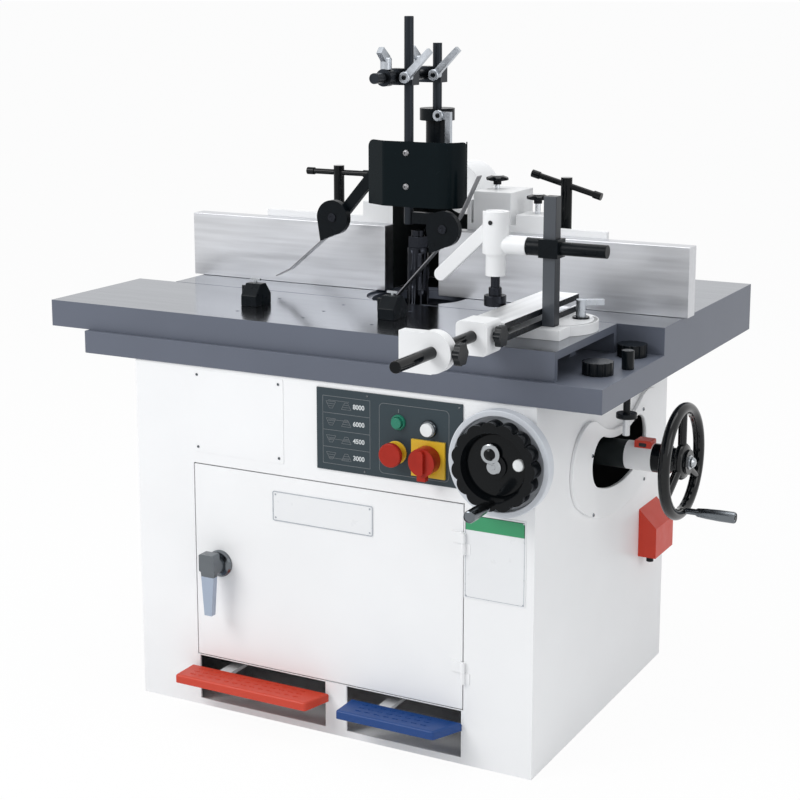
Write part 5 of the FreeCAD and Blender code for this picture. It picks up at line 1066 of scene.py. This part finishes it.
# %% Height counter and wheel nut
TUBE_Y, TUBE_Z = 40.0, 560.0
COUNTER_LEFT, COUNTER_BACK, COUNTER_LOW = 512.0, 52.0, 581.0
COUNTER_WIDE, COUNTER_HIGH, COUNTER_DEEP = 36.0, 17.0, 32.0
WHEEL_MIDDLE, WHEEL_END = 608.0, 625.3
NUT = [(0, -1), (15, -1), (15, 2), (11, 3), (11, 7), (8, 11), (4, 13), (0, 13.5)]
BOSS_RING = [(25.5, -6), (36, -6), (38.5, -2), (38.5, 4), (35, 9), (25.5, 12)]
tube_body = body_of["height_tube"]
join("counter_case", [plate("front", (COUNTER_LEFT, COUNTER_BACK, COUNTER_LOW), COUNTER_WIDE, COUNTER_HIGH,
                            COUNTER_DEEP, 3, 1.5)], tube_body, "box_red")
window_corner = (COUNTER_LEFT + 10, COUNTER_BACK - COUNTER_DEEP + 0.2, COUNTER_LOW + 4)
join("counter_window", [plate("front", window_corner, 16, 8, 0.8, 2, 0.3)], tube_body, "window_dark")
join("wheel_nut", [turned("right", (WHEEL_END, TUBE_Y, TUBE_Z), NUT)], body_of["height_wheel"], "soft_chrome")
join("wheel_boss_ring", [turned("right", (WHEEL_MIDDLE, TUBE_Y, TUBE_Z), BOSS_RING, 48, True)],
     body_of["height_wheel"], "wheel_black")
print("counter, nut and boss ring")

# %% [markdown]
# The crank handles are turned: a slim neck on the pin, a barrel that swells towards the hand and a flat
# end with a shallow recess. One profile serves both, longer on the height wheel to cover its pin.

# %% Crank handles


def crank_handle(name, face, spot, length):
    barrel = [(0, 0), (6.5, 0), (6.5, length * 0.2), (9, length * 0.24), (10.8, length * 0.42),
              (12, length * 0.68), (12, length - 4), (11, length - 1), (9.5, length), (9.5, length - 1.5),
              (0, length - 1.5)]
    piece = join(name + "_shape", [turned(face, spot, barrel, 32)], body_of[name], "dark_chrome",
                 slot_of[name])
    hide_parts(name)


low, high = box_mm("tilt_grip")
crank_handle("tilt_grip", "front", ((low.x + high.x) / 2, high.y, (low.z + high.z) / 2), high.y - low.y)
low, high = box_mm("height_grip")
pin_end = box_mm("height_wheel")[1].x - 0.3
crank_handle("height_grip", "right", (low.x, (low.y + high.y) / 2, (low.z + high.z) / 2), pin_end - low.x)
print("crank handles", 2)

# %% [markdown]
# Each clamp lever on the guard is held by a silver boss with a black socket bolt, and the two levers on
# top of the bar stand on silver sleeves.

# %% Lever bosses
BOSS = [(0, -0.5), (12, -0.5), (12, 2.5), (10.5, 4), (5.5, 4), (5.5, 2), (0, 2)]
BOLT = [(0, 1.5), (5, 1.5), (5, 4.6), (3, 5), (3, 3.5), (0, 3.5)]
SLEEVE = [(8.2, 0), (12, 0), (12, 22), (10.5, 24), (8.2, 24)]
LEVER_SPOTS = {"guard_mast": (24, 62, 1330), "cross_bar": (24, -70, 1330), "mast_sleeve": (41, 51, 1245)}
SLEEVE_SPOTS = ((-10, -88, 1347), (-10, 49, 1347))
for node, spot in LEVER_SPOTS.items():
    shapes = [turned("front", spot, BOSS, 28)]
    if node == "cross_bar":
        shapes += [turned("top", foot, SLEEVE, 28, True) for foot in SLEEVE_SPOTS]
    join(node + "_bosses", shapes, body_of[node], "lever_silver")
    join(node + "_bolts", [turned("front", spot, BOLT, 20)], body_of[node], "black_plastic")
print("bosses", len(LEVER_SPOTS))

# %% [markdown]
# The screws that hold the stop rod and its plate end in round lobed knobs. The outline is a circle whose
# radius swings in and out, raised to a thickness and rounded. A dark pin joins the clamp's lever, and a
# collar stands on its foot.

# %% Lobed knobs


def lobed_knob(face, spot, radius, thick, lobes, bite=3.0, points=72):
    outline = []
    for at in range(points):
        angle = math.tau * at / points
        reach = radius - bite * (0.5 - 0.5 * math.cos(lobes * angle))
        outline.append((reach * math.cos(angle), reach * math.sin(angle)))
    builder = bmesh.new()
    slab(builder, outline, 0, thick)
    return placed(builder, face, spot, 2.5, 3)


KNOBS = {"mitre_bar": (409.5, -435.0, 887.5), "stop_plate": (414.5, -614.0, 887.5)}
KNOB_RADIUS, KNOB_THICK, LOBES = 21, 12, 6
PIN_LEVEL, FOOT_TOP = 1066.0, 921.0
for node, spot in KNOBS.items():
    join(node + "_knob", [lobed_knob("right", spot, KNOB_RADIUS, KNOB_THICK, LOBES)], body_of[node],
         "black_plastic", "black_plastic")
join("clamp_pin", [turned("front", (CLAMP[0], CLAMP[1] - BARREL_RADIUS, PIN_LEVEL),
                          [(0, -2), (4.5, -2), (4.5, 1), (3.5, 1.8), (0, 2)], 20)],
     body_of["clamp_body"], "window_dark")
join("stem_collar", [turned("top", (*CLAMP, FOOT_TOP), [(8.9, 0), (13, 0), (13, 14), (11.5, 16), (8.9, 16)],
                            32, True)], body_of["clamp_stem"], "ring_steel")
print("knobs", len(KNOBS))

# %% [markdown]
# Screws repeat all over the machine. A Geometry Nodes tree sets one head on every point of a mesh and
# turns it by the rotation stored on that point, so a new screw is only one more line in a list. The
# tree ends by making the copies real and giving them their finish, because an export drops instances.

# %% Tree that sets fasteners


def new_tree(name, inputs):
    tree = bpy.data.node_groups.new(name, "GeometryNodeTree")
    tree.interface.new_socket(name="Geometry", in_out="OUTPUT", socket_type="NodeSocketGeometry")
    tree.interface.new_socket(name="Points", in_out="INPUT", socket_type="NodeSocketGeometry")
    for label, kind in inputs:
        tree.interface.new_socket(name=label, in_out="INPUT", socket_type="NodeSocket" + kind)
    return tree, tree.nodes.new("NodeGroupInput"), tree.nodes.new("NodeGroupOutput")


def finish_tree(tree, given, output, instances):
    real = add_node(tree, "GeometryNodeRealizeInstances", {"Geometry": instances})
    paint = add_node(tree, "GeometryNodeSetMaterial", {"Geometry": real.outputs["Geometry"],
                                                       "Material": given.outputs["Finish"]})
    tree.links.new(paint.outputs["Geometry"], output.inputs["Geometry"])
    return tree


def fastener_tree():
    tree, given, output = new_tree("set_fasteners", [("Head", "Object"), ("Size", "Float"),
                                                     ("Finish", "Material")])
    head = add_node(tree, "GeometryNodeObjectInfo", {"Object": given.outputs["Head"]})
    turn = add_node(tree, "GeometryNodeInputNamedAttribute", {"Name": "turn"}, data_type="QUATERNION")
    setter = add_node(tree, "GeometryNodeInstanceOnPoints", {
        "Points": given.outputs["Points"], "Instance": head.outputs["Geometry"],
        "Rotation": turn.outputs["Attribute"], "Scale": given.outputs["Size"]})
    return finish_tree(tree, given, output, setter.outputs["Instances"])


FASTENERS = fastener_tree()
print("tree", FASTENERS.name, "with", len(FASTENERS.nodes), "nodes")

# %% [markdown]
# Running a tree takes a carrier object: its mesh is the points, its modifier the tree. Each input is set
# by its identifier, and the evaluated result becomes a plain mesh before the carrier goes.

# %% Runner for the trees


def grow(tree, settings, points=None):
    carrier = put("grower", points or bpy.data.meshes.new("no_points"))
    modifier = carrier.modifiers.new("grow", "NODES")
    modifier.node_group = tree
    for socket in tree.interface.items_tree:
        if socket.item_type == "SOCKET" and socket.in_out == "INPUT" and socket.name in settings:
            modifier[socket.identifier] = settings[socket.name]
    return take_mesh(carrier)


def spots_mesh(spots):
    """Points in metres with the turn that lays a head on its face, by name or by three axes."""
    mesh = bpy.data.meshes.new("spots")
    mesh.from_pydata([Vector(spot) * MM for face, spot in spots], [], [])
    turns = mesh.attributes.new("turn", "QUATERNION", "POINT")
    for at, (face, spot) in enumerate(spots):
        turns.data[at].value = Matrix(FACES.get(face, face)).transposed().to_quaternion()
    return mesh


print("runner ready")

# %% [markdown]
# One head serves everywhere: a low domed button with a round socket, a millimetre in radius, scaled by
# the tree. It is a few dozen faces, since it is used again and again.

# %% Screw head
builder = bmesh.new()
spin(builder, [(0, -0.1), (1, -0.1), (1, 0.25), (0.8, 0.5), (0.42, 0.58), (0.42, 0.25), (0, 0.25)], 12)
screw_head = put("screw_head", mesh_of(builder, "screw_head"))
print("head faces", len(screw_head.data.polygons))

# %% [markdown]
# The lists say where the screws sit: on the wiring cover, the panel, the plates, the slot cover and the
# guard. Each list rides on the body that its screws hold.

# %% Screws


def set_heads(name, spots, size, word, body, head=screw_head):
    mesh = grow(FASTENERS, {"Head": head, "Size": size * MM, "Finish": find_finish(word)},
                spots_mesh(spots))
    smooth_by_angle(mesh)
    mesh.name = name
    add_piece(name, mesh, body, None, [word])
    return len(spots)


def corners_of(box, inset, face_y):
    left, low, width, height = box
    return [("front", (across, face_y, up)) for across in (left + inset, left + width - inset)
            for up in (low + inset, low + height - inset)]


COVER_FACE = box_mm("slot_cover")[1].x
SHIELD_FACE = box_mm("guard_shield")[0].y
PANEL_SCREWS = ((100, 726), (94, 572), (301, 726), (301, 572))
SLOT_SCREWS = ((-101, 587), (-89, 460), (193, 620), (209, 460))
SHIELD_SCREWS = ((14, 1172), (14, 1101))
frame_body = body_of["cabinet_front"]
made = set_heads("cover_screws", corners_of(COVER, 11.0, FRONT - SHEET), 3.0, "dark_chrome", frame_body)
made += set_heads("panel_screws", [("front", (across, PANEL_FACE, up)) for across, up in PANEL_SCREWS],
                  2.4, "dark_chrome", frame_body)
made += set_heads("notice_rivets", corners_of(NOTICE, 5.0, FRONT - SHEET), 2.0, "lever_silver", frame_body)
made += set_heads("slot_screws", [("right", (COVER_FACE, across, up)) for across, up in SLOT_SCREWS],
                  4.0, "dark_chrome", body_of["slot_cover"])
made += set_heads("door_plate_rivets", corners_of(DOOR_PLATE, 7.0, FRONT - SHEET), 2.0, "lever_silver",
                  body_of["door"])
made += set_heads("shield_screws", [("front", (across, SHIELD_FACE, up)) for across, up in SHIELD_SCREWS],
                  7.0, "spring_steel", body_of["guard_shield"])
print("screws", made)

# %% [markdown]
# The height wheel's rim has finger bumps along its inner side. The same tree sets them: each point's
# turn is built from its own three axes, with the way out towards the hub.

# %% Finger bumps
BUMPS, RIM_INSIDE = 32, 99.0
bumps = []
for at in range(BUMPS):
    across, up = math.cos(math.tau * at / BUMPS), math.sin(math.tau * at / BUMPS)
    axes = ((1, 0, 0), (0, up, -across), (0, -across, -up))
    bumps.append((axes, (WHEEL_MIDDLE, TUBE_Y + RIM_INSIDE * across, TUBE_Z + RIM_INSIDE * up)))
made = set_heads("wheel_bumps", bumps, 6.5, "wheel_black", body_of["height_wheel"])
print("bumps", made)

# %% [markdown]
# The motor is cooled through louvres in the back sheet: pressed hoods with the slot on their lower side.
# The photograph hides the back, so they follow what such cabinets commonly have. The tree that sets the
# screws sets them too, with another head.

# %% Louvres


def louvre_head(length, rise, depth, columns=14, rows=5):
    """A hood that swells out of the sheet towards its lower lip and runs flat at both ends."""
    builder = bmesh.new()
    lines = []
    for row in range(rows + 1):
        level, swell = rise * (0.6 - row / rows), depth * math.sin(row / rows * math.pi / 2)
        lines.append([builder.verts.new((length * (at / columns - 0.5), level,
                                         swell * (1 - (2 * at / columns - 1) ** 6)))
                      for at in range(columns + 1)])
    lip = lines[-1]
    foot = [builder.verts.new((corner.co.x, corner.co.y, 0)) for corner in lip[1:-1]]
    lines.append(lip[:1] + foot + lip[-1:])
    for line, following in zip(lines, lines[1:]):
        for at in range(columns):
            corners = (line[at], following[at], following[at + 1], line[at + 1])
            builder.faces.new(tuple(dict.fromkeys(corners)))
    bmesh.ops.holes_fill(builder, edges=builder.edges, sides=0)
    bmesh.ops.recalc_face_normals(builder, faces=builder.faces)
    return put("louvre_head", mesh_of(builder, "louvre_head"))


BACK = box_mm("cabinet_back")[1].y
LOUVRE_MIDDLES, LOUVRE_ROWS, LOUVRE_LOW, LOUVRE_PITCH = (-85.0, 85.0), 8, 200.0, 28.0
louvre = louvre_head(120.0, 14.0, 6.0)
spots = [("back", (across, BACK, LOUVRE_LOW + LOUVRE_PITCH * row))
         for across in LOUVRE_MIDDLES for row in range(LOUVRE_ROWS)]
made = set_heads("rear_louvres", spots, 1.0, "cabinet_paint", body_of["cabinet_back"], louvre)
for head in (screw_head, louvre):
    bpy.data.objects.remove(head)
print("louvres", made)

# %% [markdown]
# The treads of the pedals have rows of short pressed ribs, so that a shoe doesn't slip. They lie on a
# grid: a second tree takes the number of columns and rows and the size of the field, and sets a
# rounded rib on each point.

# %% Tread ribs


def rib_tree():
    tree, given, output = new_tree("press_ribs", [
        ("Rib", "Object"), ("Columns", "Int"), ("Rows", "Int"), ("Length", "Float"), ("Depth", "Float"),
        ("Middle", "Vector"), ("Finish", "Material")])
    rib = add_node(tree, "GeometryNodeObjectInfo", {"Object": given.outputs["Rib"]})
    grid = add_node(tree, "GeometryNodeMeshGrid", {
        "Size X": given.outputs["Length"], "Size Y": given.outputs["Depth"],
        "Vertices X": given.outputs["Columns"], "Vertices Y": given.outputs["Rows"]})
    setter = add_node(tree, "GeometryNodeInstanceOnPoints", {"Points": grid.outputs["Mesh"],
                                                             "Instance": rib.outputs["Geometry"]})
    mover = add_node(tree, "GeometryNodeTransform", {"Geometry": setter.outputs["Instances"],
                                                     "Translation": given.outputs["Middle"]})
    return finish_tree(tree, given, output, mover.outputs["Geometry"])


RIBS = rib_tree()
builder = bmesh.new()
slab(builder, rounded_rectangle(-6.5, -1.5, 6.5, 1.5, 1.4, 3), -0.3, 1.0)
round_edges(builder, 0.5, 1)
builder.transform(Matrix.Scale(MM, 4))
tread_rib = put("tread_rib", mesh_of(builder, "tread_rib"))
TREAD_MIDDLE_Y, TREAD_TOP = -407.0, 92.0
RIB_PITCH, RIB_ROWS, RIB_FIELD, TREAD_MARGIN, STRAP_SIDE = 21.0, 3, 30.0, 20.0, 20.0
for node in ("brake_pedal", "lock_pedal"):
    left, right = box_mm(node)[0].x, box_mm(node)[1].x - STRAP_SIDE
    columns = int((right - left - 2 * TREAD_MARGIN) / RIB_PITCH)
    mesh = grow(RIBS, {"Rib": tread_rib, "Columns": columns, "Rows": RIB_ROWS,
                       "Length": (columns - 1) * RIB_PITCH * MM, "Depth": RIB_FIELD * MM,
                       "Middle": Vector(((left + right) / 2, TREAD_MIDDLE_Y, TREAD_TOP)) * MM,
                       "Finish": finishes[slot_of[node]]})
    smooth_by_angle(mesh)
    mesh.name = node + "_ribs"
    add_piece(node + "_ribs", mesh, body_of[node], slot_of[node])
    print(node, "ribs", columns * RIB_ROWS)
bpy.data.objects.remove(tread_rib)

# %% [markdown]
# The swivel base carries a scale of degrees along its rim. A third tree walks along an arc and sets a
# tick at every step, turned to the arc's own direction.

# %% Mitre scale


def scale_tree():
    tree, given, output = new_tree("walk_scale", [
        ("Radius", "Float"), ("From", "Float"), ("Sweep", "Float"), ("Ticks", "Int"), ("Tick", "Vector"),
        ("Middle", "Vector"), ("Finish", "Material")])
    arc = add_node(tree, "GeometryNodeCurveArc", {
        "Resolution": 64, "Radius": given.outputs["Radius"], "Start Angle": given.outputs["From"],
        "Sweep Angle": given.outputs["Sweep"]})
    walk = add_node(tree, "GeometryNodeCurveToPoints", {"Curve": arc.outputs["Curve"],
                                                        "Count": given.outputs["Ticks"]})
    turn = add_node(tree, "FunctionNodeAlignRotationToVector", {"Vector": walk.outputs["Tangent"]},
                    axis="X", pivot_axis="Z")
    tick = add_node(tree, "GeometryNodeMeshCube", {"Size": given.outputs["Tick"]})
    setter = add_node(tree, "GeometryNodeInstanceOnPoints", {
        "Points": walk.outputs["Points"], "Instance": tick.outputs["Mesh"],
        "Rotation": turn.outputs["Rotation"]})
    mover = add_node(tree, "GeometryNodeTransform", {"Geometry": setter.outputs["Instances"],
                                                     "Translation": given.outputs["Middle"]})
    return finish_tree(tree, given, output, mover.outputs["Geometry"])


SCALE = scale_tree()
MITRE, SCALE_REACH, TICKS = (398.0, -145.0, 870.3), 82.0, 41
mesh = grow(SCALE, {"Radius": SCALE_REACH * MM, "From": math.radians(-80), "Sweep": math.radians(120),
                    "Ticks": TICKS, "Tick": Vector((0.8, 7.0, 0.5)) * MM,
                    "Middle": Vector(MITRE) * MM, "Finish": fittings["scale_ink"]})
mesh.name = "mitre_scale"
add_piece("mitre_scale", mesh, body_of["mitre_base"], None, ["scale_ink"])
print("ticks", TICKS)

# %% [markdown]
# Each stop block on the sliding table is pinched by a wing screw on its left side and carries a small
# plated bar on top. The pivots of the hold-downs are round steel bosses.

# %% Wing screws and pivots


def wing_screw(spot):
    builder = bmesh.new()
    slab(builder, rounded_rectangle(-2.5, -11, 2.5, 17, 2.2), 4, 15)
    return [turned("left", spot, [(0, -0.5), (6, -0.5), (6, 5), (4.5, 6.5), (0, 6.5)]),
            placed(builder, "left", spot, 1.5)]


def top_wing(spot):
    """A small plated bar on a stem, on top of a block."""
    bar = bmesh.new()
    slab(bar, rounded_rectangle(-12, 5, 12, 10, 2.3), -2.4, 2.4)
    return [turned("top", spot, [(0, -1), (3, -1), (3, 6), (0, 6)], 16), placed(bar, "front", spot, 1.5)]


BLOCK_LOW, BLOCK_HIGH = box_mm("stop_blocks")
BLOCKS, BLOCK_Y, BLOCK_HALF, WING_UP = (-268.0, 62.0), -195.0, 19.0, 22.0
wings, bars = [], []
for middle in BLOCKS:
    wings += wing_screw((middle - BLOCK_HALF, BLOCK_Y, BLOCK_LOW.z + WING_UP))
    bars += top_wing((middle, BLOCK_Y, BLOCK_HIGH.z))
join("block_wing_screws", wings, body_of["stop_blocks"], "black_plastic", "black_plastic")
join("block_top_wings", bars, body_of["stop_blocks"], "soft_chrome")
PIVOT = [(0, -0.5), (10, -0.5), (10, 2), (8.5, 3.5), (4, 3.5), (3.2, 2.6), (0, 2.6)]
PIVOTS = ((-176.0, -30.0, 1022.0), (104.0, -54.0, 1017.0))
join("hold_pivots", [turned("front", spot, PIVOT) for spot in PIVOTS], body_of["hold_downs"], "ring_steel")
print("wing screws", len(BLOCKS), "pivots", len(PIVOTS))
